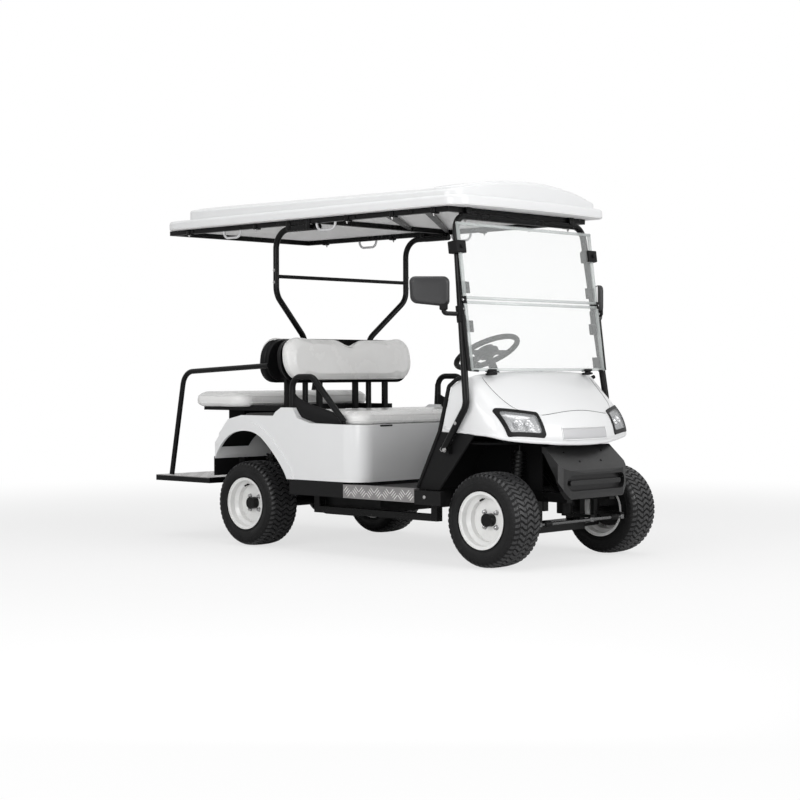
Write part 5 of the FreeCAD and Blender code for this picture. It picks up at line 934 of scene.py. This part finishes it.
def make_tray_ribs():
    """Long ribs along the black tray beside and below the rear cushion."""
    low, high = node_box("rear_deck")
    places = [[[(low[0] + high[0]) / 2, y, high[2]], X_WAY, Y_WAY, Z_WAY]
              for y in np.arange(low[1] + 0.018, high[1] - 0.012, 0.0235)]
    outline = rectangle((high[0] - low[0]) / 2 - 0.012, 0.0045)
    stamped("tray_ribs", places, outline, 0.0030, kit("deck_mat"), 0.97, 0.0004)


make_tread_plates()
make_tray_ribs()


# Nose

def make_cowl_lip():
    """Rounded flange along the cowl's lower edge: an oval carried along its lowest, outermost points."""
    spots = mesh_points(frame["nodes"]["front_cowl"].data)
    heart = np.array([spots[:, 0].min() + 0.10, 0.0])
    bearing = np.arctan2(spots[:, 1], spots[:, 0] - heart[0])
    path = []
    for angle in np.linspace(-1.72, 1.72, 121):
        near = spots[np.abs(bearing - angle) < 0.03]
        if len(near):
            low = near[near[:, 2] < near[:, 2].min() + 0.006]
            path.append(low[np.argmax(np.hypot(low[:, 0] - heart[0], low[:, 1]))])
    path = np.array(path)
    for _ in range(3):
        path[1:-1] = (path[:-2] + 2 * path[1:-1] + path[2:]) / 4
    path = (path + path[::-1] * [1, -1, 1]) / 2
    inward = unit(np.array([heart[0], 0.0, 0.0]) - path * [1, 1, 0]) * 0.0035
    swept("cowl_lip_flange", path + inward + [0, 0, 0.004], ring(0.0080, 14, 1.2), WHITE)


def make_plate_panel():
    """Blank plate panel on the nose: a flat grey field laid on the cowl, inside a thin raised surround."""
    rows, cols = 5, 25
    spots = [hit(COWL, (2.0, y, z), -X_WAY, (1.33, y, z)) for z in np.linspace(0.606, 0.663, rows)
             for y in np.linspace(-0.173, 0.173, cols)]
    grid = np.array([spot + normal * 0.0022 for spot, normal in spots])
    count = rows * cols
    faces = grid_faces(rows, cols).tolist() + (grid_faces(rows, cols)[:, ::-1] + count).tolist()
    order = np.arange(count).reshape(rows, cols)
    border = [*order[:, 0], *order[-1, 1:], *order[-2::-1, -1], *order[0, -2:0:-1]]
    faces += [[first, second, second + count, first + count]
              for first, second in zip(border, border[1:] + border[:1])]
    piece("blank_plate_panel", np.concatenate([grid, grid - X_WAY * 0.004]), faces, GREY)
    swept("plate_panel_surround", grid[border], ring(0.0030, 8), WHITE, closed=True, up=X_WAY)


def make_hood_gap_shade_line():
    """Black line round the hood that is painted shade for the shadow in its gap: its outline is found by
    halving steps along rays from the hood's middle.

    Each place is then moved half way between the skins 10 mm inside and 10 mm outside the edge,
    where both are there.
    """
    hood = surface_of("hood_panel")
    first, second, look = axes_of((0.45, 0.0, 0.89), Y_WAY)
    heart = middle_of("hood_panel") + look * 0.4
    path = []
    for turn in turns(180):
        way = first * math.cos(turn) + second * math.sin(turn)
        near, far, last = 0.02, 0.75, None
        for _ in range(13):
            reach = (near + far) / 2
            spot, _ = first_hit(hood, heart + way * reach, -look)
            if spot is None:
                far = reach
            else:
                near, last = reach, np.array(spot)
        if last is not None:
            inner, outer = (first_hit(COWL, heart + way * (near + step), -look)[0] for step in (-0.01, 0.01))
            level = inner is not None and outer is not None and (inner - outer).length < 0.04
            path.append((np.array(inner) + np.array(outer)) / 2 if level else last)
    path = softened(softened(np.array(path)))
    # A thin black tube in the gap between hood and cowl: painted shade where the gap's shadow falls.
    swept("hood_gap_painted_shade", path - look * 0.0002, ring(0.0015, 6), SOFT, closed=True, up=look)


LAMP_CORNERS = ((1.1165, 0.4929, 0.7558), (1.2035, 0.2692, 0.7198), (1.2845, 0.2708, 0.6162),
                (1.2225, 0.4722, 0.6342))
LENSES = surface_of("headlight_lenses")
BOWLS = ((-0.22, 0.02, 0.026), (0.50, -0.06, 0.023))
BOWL = np.array([[1, 0.0135], [0.95, 0.0142], [0.84, 0.0085], [0.62, 0.0035], [0.30, 0.0012], [0, 0.0008],
                 [0, -0.0005], [0.7, -0.0005], [1, 0.0135]])
BULB = np.array([[0, 0.0125], [0.20, 0.0120], [0.27, 0.0095], [0.27, 0.0010], [0, 0.0010]])


def inside_lamp(side, first, second, shrink, depth):
    """A place behind the lens: shares from -1 to 1 over the lamp's window, then in from the glass."""
    corners = np.array(LAMP_CORNERS) * [1, side, 1]
    middle = corners.mean(axis=0)
    normal = unit(np.cross(corners[2] - corners[0], corners[3] - corners[1]))
    normal = normal if normal[0] > 0 else -normal
    corners = middle + (corners - middle) * shrink
    u, v = (first + 1) / 2, (second + 1) / 2
    flat = (corners[3] * (1 - u) + corners[2] * u) * (1 - v) + (corners[0] * (1 - u) + corners[1] * u) * v
    spot, _ = hit(LENSES, flat + normal * 0.08, -normal, flat)
    return spot - normal * depth, normal


def make_lamp_insides():
    """Behind each lens: a fluted silver tray, two round bowls and their bulbs' caps.

    Depth of the tray = deepest - rise * edge^4 + a fine flute * cos(u).
    """
    steps = 19
    share = np.linspace(-1, 1, steps)
    for side, label in SIDES:
        grid = []
        for v in share:
            for u in share:
                edge = max(abs(u), abs(v)) ** 4
                depth = 0.0225 - 0.016 * edge + 0.0007 * math.cos(u * 40) * (1 - edge)
                grid.append(inside_lamp(side, u, v, 0.80, depth)[0])
        skin = piece(f"lamp_tray_{label}", grid, grid_faces(steps, steps), LAMP_TRAY,
                     merge=0).modifiers.new("skin", "SOLIDIFY")
        skin.thickness, skin.offset = 0.0012, -1
        for number, (u, v, radius) in enumerate(BOWLS):
            spot, normal = inside_lamp(side, u, v, 0.72, 0.0215)
            for name, profile, paint, count in (("bowl", BOWL, LAMP_BOWL, 30),
                                                ("bulb", BULB, kit("clear_lens", GREY_PANEL), 20)):
                turned(f"lamp_{name}_{label}_{number}", spot, normal, profile * (radius, 1), paint, count)


make_cowl_lip()
make_plate_panel()
make_hood_gap_shade_line()
make_lamp_insides()


# Windshield

PANES_LOW, PANES_HIGH = node_box("windshield_panes")
PANE_HALF, HALF_GLASS, FOLD_HEIGHT = float(PANES_HIGH[1]), 0.003, 1.282
PANE_LINE = unit(np.array([PANES_LOW[0] - PANES_HIGH[0] + 2 * HALF_GLASS, 0, PANES_HIGH[2] - PANES_LOW[2]]))
PANE_OUT = np.array([PANE_LINE[2], 0, -PANE_LINE[0]])
PANE_WAYS = np.array([PANE_OUT, Y_WAY, PANE_LINE])
PILLAR_LOW, PILLAR_HIGH, PILLAR_FOOT, PILLAR_DRIFT = 0.776, 1.690, (1.0245, 0.556), (0.1190, 0.056)
CLAMP_KNOB = ((0.0, 0.0), (0.0100, 0.0), (0.0105, 0.003), (0.0105, 0.009), (0.0085, 0.0115), (0.0, 0.012))
FOLD_KNOB = ((0.0, 0.0), (0.0070, 0.0), (0.0070, 0.006), (0.0055, 0.0075), (0.0, 0.008))


def pillar_at(side, height):
    """The middle of a front pillar at one height, on the straight run between its knee and its top bend."""
    share = (height - PILLAR_LOW) / (PILLAR_HIGH - PILLAR_LOW)
    x, y = array(PILLAR_FOOT) - array(PILLAR_DRIFT) * share
    return np.array([x, side * y, height])


def on_pane(side, half, height, ahead=0.0):
    """A place on the middle of the glass, or ahead of it."""
    share = (height - PANES_LOW[2]) / (PANES_HIGH[2] - PANES_LOW[2])
    x = (PANES_HIGH[0] - HALF_GLASS) * (1 - share) + (PANES_LOW[0] + HALF_GLASS) * share
    return np.array([x, side * half, height]) + PANE_OUT * ahead


def make_pane_edges():
    """Clear channels along the glass: both sides, the top, the bottom and the two rails of the fold."""
    channel = oblong(0.0090, 0.0052, 0.0012, 3)[:, ::-1]
    for side, label in SIDES:
        for number, (low, high) in enumerate(((0.944, FOLD_HEIGHT - 0.012), (FOLD_HEIGHT + 0.012, 1.656))):
            path = [on_pane(side, PANE_HALF - 0.0088, height) for height in (low, (low + high) / 2, high)]
            swept(f"glass_side_channel_{label}_{number}", path, channel, SHEET_EDGE, up=Y_WAY)
    for height, name in ((FOLD_HEIGHT - 0.011, "fold_low"), (FOLD_HEIGHT + 0.011, "fold_high"),
                         (1.652, "top"), (0.946, "bottom")):
        path = [on_pane(side, PANE_HALF - 0.0005, height) for side in (-1, 0, 1)]
        swept(f"glass_rail_{name}", path, oblong(0.0066, 0.0066, 0.0022, 4), SHEET_EDGE, up=PANE_LINE)


def make_glass_clamps():
    """Rubber clamps between pillars and glass, hinges at the fold, and clips with latches at the foot."""
    for side, label in SIDES:
        clamp, fold = on_pane(side, PANE_HALF - 0.008, 1.539, -0.016), on_pane(side, PANE_HALF - 0.006,
                                                                               FOLD_HEIGHT)
        blocks = ((f"glass_clamp_{label}_0", clamp, (0.060, 0.070, 0.060), 0.005),
                  (f"fold_hinge_{label}", fold, (0.018, 0.016, 0.036), 0.004),
                  (f"glass_clip_{label}_lower", on_pane(side, 0.381, 0.925, 0.001), (0.030, 0.060, 0.011),
                   0.004),
                  (f"glass_clip_{label}_upper", on_pane(side, 0.381, 0.942, 0.001), (0.030, 0.060, 0.011),
                   0.004),
                  (f"glass_clip_core_{label}", on_pane(side, 0.389, 0.9335), (0.024, 0.026, 0.030), 0.004))
        for name, middle, size, radius in blocks:
            rounded_box(name, middle, size, radius, SOFT, PANE_WAYS)
        turned(f"glass_clamp_knob_{label}_0", clamp + PANE_OUT * 0.029, PANE_OUT, CLAMP_KNOB, SOFT, 18)
        turned(f"fold_knob_{label}", fold + Y_WAY * side * 0.0075, Y_WAY * side, FOLD_KNOB, NUTS, 18)
        latch = smooth_path([on_pane(side, PANE_HALF + 0.006, 0.952, -0.03),
                             on_pane(side, PANE_HALF + 0.006, 0.944),
                             on_pane(side, PANE_HALF - 0.050, 0.940, 0.004)], 0.012)
        swept(f"glass_foot_latch_{label}", latch, ring(0.0052, 10), SOFT)


make_pane_edges()
make_glass_clamps()


# Mirrors

MIRROR_TOE, MIRROR_FOOT = math.radians(43.5), 1.214
MIRROR_SHELL = ((-0.0150, 0.93), (-0.0160, 0.962), (-0.0160, 1.0), (-0.0120, 1.008), (-0.0010, 1.0),
                (0.0060, 0.972),
                (0.0120, 0.872), (0.0136, 0.848), (0.0142, 0.82), (0.0150, 0.4), (0.0150, 0.0))
MIRROR_FACE = ((-0.0147, 0.935), (-0.0155, 0.92), (-0.0157, 0.0))
COLLAR = ((0.0172, -0.040), (0.0222, -0.040), (0.0234, -0.038), (0.0234, -0.012), (0.0226, -0.010),
          (0.0226, 0.010), (0.0234, 0.012), (0.0234, 0.038), (0.0222, 0.040), (0.0172, 0.040),
          (0.0172, -0.040))
PINCH_BOLT = ((0.0, 0.0), (0.0062, 0.0), (0.0062, 0.005), (0.0048, 0.0062), (0.0, 0.0062))


def make_mirrors():
    """Housings with a bevelled rim, the silvered glass behind, and an arm clamped to each pillar.

    Each ring of a housing is the outline * scale(depth), lifted along the housing's own axis.
    """
    outline = oblong(0.0950, 0.0680, 0.030, 9)
    outline = outline + np.stack([0.05 * outline[:, 1] * (outline[:, 0] > 0),
                                  0.10 * outline[:, 0] * (outline[:, 1] < 0)], axis=1)
    for side, label in SIDES:
        centre = np.array([0.892, side * 0.668, 1.325])
        out = np.array([math.cos(MIRROR_TOE), side * math.sin(MIRROR_TOE), 0.0])
        across = np.cross(Z_WAY, out) * side
        for name, levels, paint in (("housing", MIRROR_SHELL, MIRROR_BLACK),
                                    ("glass", MIRROR_FACE, MIRROR_GLASS)):
            rings = [centre + out * depth + (across * outline[:, :1] + Z_WAY * outline[:, 1:]) * scale
                     for depth, scale in levels]
            made = piece(f"mirror_{name}_{label}", rings, grid_faces(len(rings), len(outline), False, True),
                         paint, merge=1e-6)
            if (side, name) == (-1, "housing"):
                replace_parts(made, "mirrors")
        post = pillar_at(side, MIRROR_FOOT)
        neck = centre - across * 0.066 - Z_WAY * 0.066
        corner = np.array([neck[0], neck[1], MIRROR_FOOT + 0.002])
        arm = smooth_path([post + Y_WAY * side * 0.014, (post + corner) / 2, corner, neck + Z_WAY * 0.012],
                          0.020)
        swept(f"mirror_arm_{label}", arm, oblong(0.0085, 0.0105, 0.004), COATED)
        rounded_box(f"mirror_neck_{label}", neck - Z_WAY * 0.004, (0.040, 0.025, 0.048), 0.008, MOULDED,
                    (across, out, Z_WAY))
        turned(f"mirror_collar_{label}", post, PANE_LINE, COLLAR, SOFT, 28)
        turned(f"mirror_pinch_bolt_{label}", post + [0.021, side * 0.006, 0.024], X_WAY, PINCH_BOLT, NUTS, 6,
               False)


make_mirrors()


# Steering wheel, dash and pedals

WHEEL_LEAN = math.radians(28.6)
WHEEL_CENTRE = np.array([0.4665, 0.245, 1.040])
WHEEL_AXIS = np.array([-math.sin(WHEEL_LEAN), 0, math.cos(WHEEL_LEAN)])
WHEEL_FORE = np.cross(Y_WAY, WHEEL_AXIS)
GRIP_RADIUS = 0.1735
PAD_LEVELS = ((-0.012, 0.0), (-0.012, 0.94), (-0.006, 1.0), (0.008, 1.0), (0.015, 0.93), (0.019, 0.80),
              (0.0215, 0.55), (0.0225, 0.0))
HUB_RING = ((0.022, -0.002), (0.0225, 0.0030), (0.0245, 0.0030), (0.025, -0.0022), (0.022, -0.002))
LEVER_KNOB = ((0.0, 0.0), (0.0075, 0.0), (0.0100, 0.004), (0.0105, 0.026), (0.007, 0.032), (0.0, 0.0325))
KEY_SWITCH = ((0.0, -0.001), (0.0150, -0.001), (0.0150, 0.004), (0.0125, 0.006), (0.0085, 0.006),
              (0.0085, 0.0045), (0.0, 0.0045))
GAUGE = ((0.0, -0.001), (0.0240, -0.001), (0.0240, 0.0060), (0.0222, 0.0075), (0.0208, 0.0062),
         (0.0205, 0.0035), (0.0, 0.0035))


def make_steering_details():
    """A moulded pad over the hub, a joint line round it, finger ridges on the rim and a column lever."""
    outline = oblong(0.064, 0.050, 0.030, 8)
    rings = [WHEEL_CENTRE + WHEEL_AXIS * depth + Y_WAY * outline[:, :1] * scale * (1 - 1.6 * outline[:, 1:])
             + WHEEL_FORE * outline[:, 1:] * scale for depth, scale in PAD_LEVELS]
    piece("wheel_hub_pad", rings, grid_faces(len(rings), len(outline), False, True),
          kit("black_plastic", body="hand_wheel"), merge=1e-6)
    soft = kit("black_plastic", SOFT_BLACK, "hand_wheel")
    turned("wheel_hub_ring", WHEEL_CENTRE + WHEEL_AXIS * 0.0195, WHEEL_AXIS, HUB_RING, soft, 36)
    turn, minor = turns(144), turns(16)
    swell = 0.0142 + 0.0007 * np.abs(np.sin(turn * 18)) ** 0.5
    around = np.cos(turn)[:, None] * Y_WAY + np.sin(turn)[:, None] * WHEEL_FORE
    points = (WHEEL_CENTRE
              + around[:, None] * (GRIP_RADIUS + swell[:, None, None] * np.cos(minor)[None, :, None])
              + WHEEL_AXIS * (swell[:, None] * np.sin(minor)[None])[..., None])
    piece("wheel_rim_grip", points, grid_faces(len(turn), len(minor), True, True), soft)
    start = WHEEL_CENTRE - WHEEL_AXIS * 0.075
    lever = smooth_path([start, start - Y_WAY * 0.07 + X_WAY * 0.005, start - Y_WAY * 0.13 + Z_WAY * 0.012],
                        0.03)
    swept("column_lever", lever, ring(0.0055, 10), SOFT)
    turned("column_lever_knob", lever[-1] + Y_WAY * 0.004, -Y_WAY + Z_WAY * 0.08, LEVER_KNOB, SOFT, 18)


def make_dash_details():
    """Key switch, a row of rocker switches, a round gauge with a blank face, and ribs on the pedals."""
    dash = surface_of("dash_panel")

    def on_dash(y):
        spot, normal = hit(dash, (0.2, y, 0.775), X_WAY, (0.89, y, 0.775))
        return spot, normal, np.array(axes_of(normal))

    spot, normal, ways = on_dash(0.085)
    turned("key_switch", spot, normal, KEY_SWITCH, kit("bare_steel", chrome()), 28)
    rounded_box("key_bow", spot + normal * 0.014, (0.003, 0.016, 0.020), 0.0014, SOFT, ways)
    for number in range(3):
        spot, normal, ways = on_dash(-0.035 - 0.044 * number)
        for label, size, lift in (("frame", (0.031, 0.023, 0.006), 0.0015),
                                  ("key", (0.025, 0.0176, 0.006), 0.004)):
            rounded_box(f"rocker_{label}_{number}", spot + normal * lift, size, 0.0022, SOFT, ways)
    turned("charge_gauge", *on_dash(0.027)[:2], GAUGE, SOFT, 40)
    low, _ = node_box("pedals")
    places = [[[low[0] + 0.0004, centre, low[2] + 0.030 + rib * 0.0118], Y_WAY, Z_WAY, -X_WAY]
              for centre in (0.078, 0.212) for rib in range(7)]
    stamped("pedal_ribs", places, rectangle(0.030, 0.0026), 0.0034, SOFT, 0.92, 0.0004)


make_steering_details()
make_dash_details()


# Suspension, brackets and bolts

COIL_TURNS, COIL_RADIUS = 7, 0.0315


def make_springs():
    """A coil spring round each shock absorber: radius * (cos, sin) round its axis, rising with the turns."""
    work = bmesh.new()
    work.from_mesh(frame["nodes"]["shock_absorbers"].data)
    bmesh.ops.remove_doubles(work, verts=work.verts, dist=1e-5)
    seen, islands = set(), []
    for start in work.verts:
        if start in seen:
            continue
        stack, found = [start], []
        seen.add(start)
        while stack:
            vertex = stack.pop()
            found.append(tuple(vertex.co))
            for other in (edge.other_vert(vertex) for edge in vertex.link_edges):
                if other not in seen:
                    seen.add(other)
                    stack.append(other)
        islands.append(np.array(found))
    work.free()
    for number, spots in enumerate(islands):
        middle = (spots.min(axis=0) + spots.max(axis=0)) / 2
        _, _, directions = np.linalg.svd(spots - spots.mean(axis=0), full_matrices=False)
        axis = directions[0] * (1 if directions[0][2] > 0 else -1)
        reach = (spots - middle) @ axis
        first, second, _ = axes_of(axis, X_WAY)
        share = np.linspace(0, 1, COIL_TURNS * 18)
        angle = share[:, None] * COIL_TURNS * 2 * np.pi
        rise = reach.min() + (reach.max() - reach.min()) * (0.36 + 0.50 * share)
        path = middle + axis * rise[:, None] + (np.cos(angle) * first + np.sin(angle) * second) * COIL_RADIUS
        swept(f"coil_spring_{number}", path, ring(0.0042, 8), COATED, up=axis)


def bolt_heads(name, spots, normals, paint, across=0.011, height=0.005):
    """Hexagon heads with a chamfer on round washers, all in one piece."""
    points, faces, start = [], [], 0
    washer, head = across * 0.80, across * 0.577
    rows = ((18, ((0.0, -0.0005), (washer, -0.0005), (washer, 0.0011), (0.0, 0.0012))),
            (6, ((0.0, 0.0), (head, 0.0), (head, height * 0.86), (across * 0.5, height), (0.0, height))))
    for spot, normal in zip(spots, normals):
        for count, profile in rows:
            points.append(spun(spot, normal, profile, count).reshape(-1, 3))
            faces += (grid_faces(count, len(profile), True) + start).tolist()
            start += len(points[-1])
    piece(name, np.vstack(points), faces, paint, False, 1e-6)


def side_bolts(name, node_name, places, paint, *sizes):
    """Bolt heads set on the outer face of a node at (x, z) places, on both sides of the cart."""
    tree = surface_of(node_name)
    ways = [Y_WAY * side for _ in places for side, _ in SIDES]
    spots = [hit(tree, (x, side * 0.9, z), -Y_WAY * side, (x, side * 0.57, z))[0]
             for x, z in places for side, _ in SIDES]
    bolt_heads(name, spots, ways, paint, *sizes)


def make_bolts():
    """Bright heads at the pillars' feet and sill brackets, dark ones where tubes and panels are bolted."""
    side_bolts("pillar_foot_bolts", "front_pillars", ((0.868, 0.5615), (0.893, 0.5600)), PLATED, 0.015, 0.009)
    side_bolts("pillar_knee_bolts", "front_pillars", ((0.9664, 0.690),), PLATED)
    side_bolts("sill_bracket_bolts", "side_sills", ((0.790, 0.328),), PLATED)
    side_bolts("roof_rail_bolts", "roof_frame", [(x, 1.725) for x in (-1.02, -0.62, 0.26, 0.66)], COATED)
    side_bolts("strut_crossbar_bolts", "rear_struts", ((-0.372, 1.418), (-0.372, 1.482)), PLATED, 0.010,
               0.006)
    apron = surface_of("front_apron")
    found = [hit(apron, (2.0, y, z), -X_WAY, (1.33, y, z))
             for y, z in ((-0.085, 0.500), (0.085, 0.500), (-0.150, 0.545), (0.150, 0.545))]
    bolt_heads("apron_bolts", *zip(*found), COATED, 0.008, 0.003)


def band(name, centre, half, thick, wide, corner=0.006):
    """A strap bent round a tube pair: a round-cornered loop in the plane across X, with a flat section."""
    loop = oblong(*half, corner, 5)
    path = array(centre) + loop[:, :1] * Y_WAY + loop[:, 1:] * Z_WAY
    strap = swept(name, path, rectangle(thick / 2, wide / 2), COATED, closed=True, up=X_WAY)
    rounding = strap.modifiers.new("edges", "BEVEL")
    rounding.width, rounding.segments = 0.0006, 1
    rounding.limit_method, rounding.angle_limit = "ANGLE", math.radians(35)


CLIP_BOLT = ((0.0, -0.001), (0.0060, -0.001), (0.0060, 0.004), (0.0036, 0.0045), (0.0036, 0.012),
             (0.0, 0.0122))
HOOP_BOLT = ((0.0, 0.0), (0.0065, 0.0), (0.0065, 0.010), (0.004, 0.010), (0.004, 0.020), (0.0, 0.020))


def make_roof_brackets():
    """Clamps that hold the struts and the front hoop to the roof rails, and short clips along the rails."""
    rail = float(node_box("roof_frame")[1][1])
    for side, label in SIDES:
        for number, x in enumerate((-0.238, -0.085)):
            band(f"strut_clamp_{label}_{number}", (x, side * (rail - 0.0200), 1.7140), (0.0235, 0.0270),
                 0.003, 0.030)
        plate = [[[-0.1615, side * (rail + 0.0012), 1.6955], X_WAY, Z_WAY, Y_WAY * side]]
        stamped(f"strut_plate_{label}", plate, oblong(0.092, 0.013, 0.003), 0.0, COATED, 1.0, 0.004)
        for number, x in enumerate((-1.06, -0.50, 0.20, 0.52, 0.80)):
            band(f"rail_clip_{label}_{number}", (x, side * (rail - 0.013), 1.7245), (0.0165, 0.0170), 0.0030,
                 0.026, 0.004)
            turned(f"rail_clip_bolt_{label}_{number}", (x, side * (rail - 0.004), 1.7065), -Z_WAY, CLIP_BOLT,
                   PLATED, 10, False)
        middle = np.array([0.888, side * 0.405, 1.7125])
        rounded_box(f"hoop_clamp_{label}", middle, (0.060, 0.036, 0.062), 0.006, COATED)
        turned(f"hoop_clamp_bolt_{label}", middle - Z_WAY * 0.030, -Z_WAY, HOOP_BOLT, PLATED, 6, False)


def make_seat_latch():
    """A low black latch on the tub's front edge under the cushion, on both sides."""
    tub = surface_of("rear_body")
    for side, label in SIDES:
        spot, _ = hit(tub, (0.8, side * 0.395, 0.6625), -X_WAY, (0.3365, side * 0.395, 0.6625))
        rounded_box(f"seat_latch_{label}", spot, (0.009, 0.088, 0.0084), 0.003, SOFT)


BOLSTER = (((-0.192, 0.868), (-0.165, 0.812), (-0.080, 0.776), (0.060, 0.745), (0.192, 0.712)),
           ((-0.200, 0.728), (-0.120, 0.692), (-0.030, 0.674), (0.080, 0.664), (0.214, 0.660)))
BOLSTER_INNER, BOLSTER_OUTER = 0.5560, 0.5740


def make_side_panels():
    """Black bolster plates inside the hip restraints, and flaps under the rear ends of the wheel arches.

    A bolster lies between two lines of (x, z), and its outer face bulges by sin over its height.
    """
    count, rise = 40, np.linspace(0, 1, 9)[:, None]
    lines = []
    for line in BOLSTER:
        line = smooth_path(np.insert(array(line), 1, 0, axis=1), 0.05, 6)
        way = np.concatenate([[0], np.cumsum(np.linalg.norm(np.diff(line, axis=0), axis=1))])
        lines.append(np.stack([np.interp(np.linspace(0, way[-1], count), way, axis) for axis in line.T],
                              axis=1))
    face = lines[1][None] * (1 - rise)[..., None] + lines[0][None] * rise[..., None]
    bulge = BOLSTER_INNER + 0.002 + (BOLSTER_OUTER - BOLSTER_INNER - 0.002) * np.sin(np.pi * rise) ** 0.6
    for side, label in SIDES:
        front, back = face.copy(), face[::-1].copy()
        front[..., 1], back[..., 1] = side * bulge, side * BOLSTER_INNER
        loop = np.concatenate([front, back])
        faces = grid_faces(len(loop), count, True, False).tolist()
        faces += [[row * count + end for row in range(len(loop))] for end in (0, count - 1)]
        piece(f"hip_bolster_{label}", loop, faces, MOULDED, merge=1e-6)
        rounded_box(f"arch_flap_{label}", (-0.7810, side * 0.5085, 0.425), (0.006, 0.177, 0.106), 0.0025,
                    MOULDED)


def make_steering_boots():
    """Ribbed rubber boots at the ends of the tie rod: radius swings between two values along the axis."""
    _, high = node_box("tie_rod")
    middle = middle_of("tie_rod")
    share = np.linspace(0, 1, 21)
    radius = 0.0125 + 0.0035 * np.abs(np.sin(share * 5 * np.pi)) - 0.003 * share
    profile = [[0.0082, 0.0], *np.stack([radius, share * 0.052], axis=1), [0.0082, 0.052], [0.0082, 0.0]]
    for side, label in SIDES:
        start = np.array([middle[0], side * (high[1] - 0.055), middle[2]])
        turned(f"tie_rod_boot_{label}", start, -Y_WAY * side, profile,
               kit("black_plastic", SOFT_BLACK, "track_rod"), 24)


make_springs()
make_bolts()
make_roof_brackets()
make_seat_latch()
make_side_panels()
make_steering_boots()


# Stage, light and camera

BACKDROP = (1.0, 1.0, 1.0, 1.0)
FLOOR_SIZE, FLOOR_LEVEL, FLOOR_SHADE = 40, -0.0008, 0.80
FADE_START, FADE_END, FADE_LEAST = 2.2, 6.5, 0.70
LIGHTS = (("top_softbox", (0.3, -0.4, 4.8), (0.1, 0, 0.9), (4.5, 3.2), 76),
          ("side_key", (1.3, -5.9, 2.9), (0.2, 0, 0.7), (3.4, 2.4), 124),
          ("nose_fill", (5.8, 0.9, 2.7), (0.2, 0, 0.8), (3.6, 2.6), 130),
          ("entry_fill", (3.4, -3.6, 0.9), (0.3, -0.1, 0.5), (1.6, 1.0), 24))


def place(name, data):
    """A new object in the scene."""
    made = bpy.data.objects.new(name, data)
    bpy.context.collection.objects.link(made)
    return made


def seen_rays(tree):
    """The light path, and a mask of rays from the camera and through glass."""
    path = tree.nodes.new("ShaderNodeLightPath").outputs
    return path, sums(tree, "MAXIMUM", path["Is Camera Ray"], path["Is Transmission Ray"])


def mixed(tree, share, first, second, output):
    """Two shaders blended by a mask into the output's surface."""
    mix = node(tree, "MixShader", {"Fac": share, 1: first.outputs[0], 2: second.outputs[0]})
    tree.links.new(mix.outputs[0], output.inputs["Surface"])


def make_stage():
    """Wide pale floor that keeps the cart's shadow and runs into the backdrop's colour further out."""
    material = bpy.data.materials.new("studio_floor")
    material.use_nodes = True
    tree = material.node_tree
    shader = tree.nodes["Principled BSDF"]
    shader.inputs["Base Color"].default_value = (FLOOR_SHADE, FLOOR_SHADE, FLOOR_SHADE, 1)
    shader.inputs["Roughness"].default_value = 0.95
    shader.inputs["Specular IOR Level"].default_value = 0.0
    spot = tree.nodes.new("ShaderNodeTexCoord").outputs["Object"]
    length = node(tree, "VectorMath", {0: spot}, operation="LENGTH").outputs["Value"]
    fade = ranged(tree, length, FADE_LEAST, 1.0, FADE_START, FADE_END, interpolation_type="SMOOTHSTEP")
    mixed(tree, sums(tree, "MULTIPLY", seen_rays(tree)[1], fade), shader,
          node(tree, "Emission", {"Color": BACKDROP}), tree.nodes["Material Output"])
    mesh = bpy.data.meshes.new("studio_floor")
    mesh.from_pydata([(x, y, FLOOR_LEVEL) for x, y in rectangle(FLOOR_SIZE, FLOOR_SIZE)], [],
                     [[0, 1, 2, 3]])
    mesh.materials.append(material)
    place("studio_floor", mesh)


def make_world():
    """White surroundings for the camera and in reflections, a soft pale dome for everything else."""
    world = bpy.data.worlds.new("studio")
    world.use_nodes = True
    tree = world.node_tree
    tree.nodes.clear()
    height = node(tree, "SeparateXYZ",
                  {0: tree.nodes.new("ShaderNodeTexCoord").outputs["Generated"]}).outputs["Z"]
    dome = node(tree, "Background", {"Strength": ranged(tree, height, 0.24, 0.55, -0.2, 0.9)})
    path, seen = seen_rays(tree)
    share = sums(tree, "MAXIMUM", seen, sums(tree, "MULTIPLY", path["Is Glossy Ray"], 0.7))
    mixed(tree, share, dome, node(tree, "Background", {"Color": BACKDROP}),
          tree.nodes.new("ShaderNodeOutputWorld"))
    bpy.context.scene.world = world


def make_lights():
    """A broad softbox above, a side key from the right, a fill at the nose and a low one at the entry."""
    for name, spot, target, size, power in LIGHTS:
        light = bpy.data.lights.new(name, "AREA")
        light.shape, light.energy = "RECTANGLE", power
        light.size, light.size_y = size
        made = place(name, light)
        made.location = spot
        made.rotation_euler = (Vector(target) - Vector(spot)).to_track_quat("-Z", "Y").to_euler()


def make_camera():
    """The photograph's own camera: its place, its aim, its long lens and its slight roll."""
    lens = bpy.data.cameras.new("photo_camera")
    lens.lens, lens.sensor_width = 76.94, 36.0
    spot, target = Vector((6.4175, -6.689, 0.934)), Vector((0.0589, 0.0, 0.7852))
    made = place("photo_camera", lens)
    made.location = spot
    made.rotation_mode = "QUATERNION"
    made.rotation_quaternion = ((target - spot).to_track_quat("-Z", "Y")
                                @ Quaternion((0, 0, 1), math.radians(-0.156)))
    bpy.context.scene.camera = made


make_stage()
make_world()
make_lights()
make_camera()
bpy.context.scene.view_settings.view_transform = "Standard"
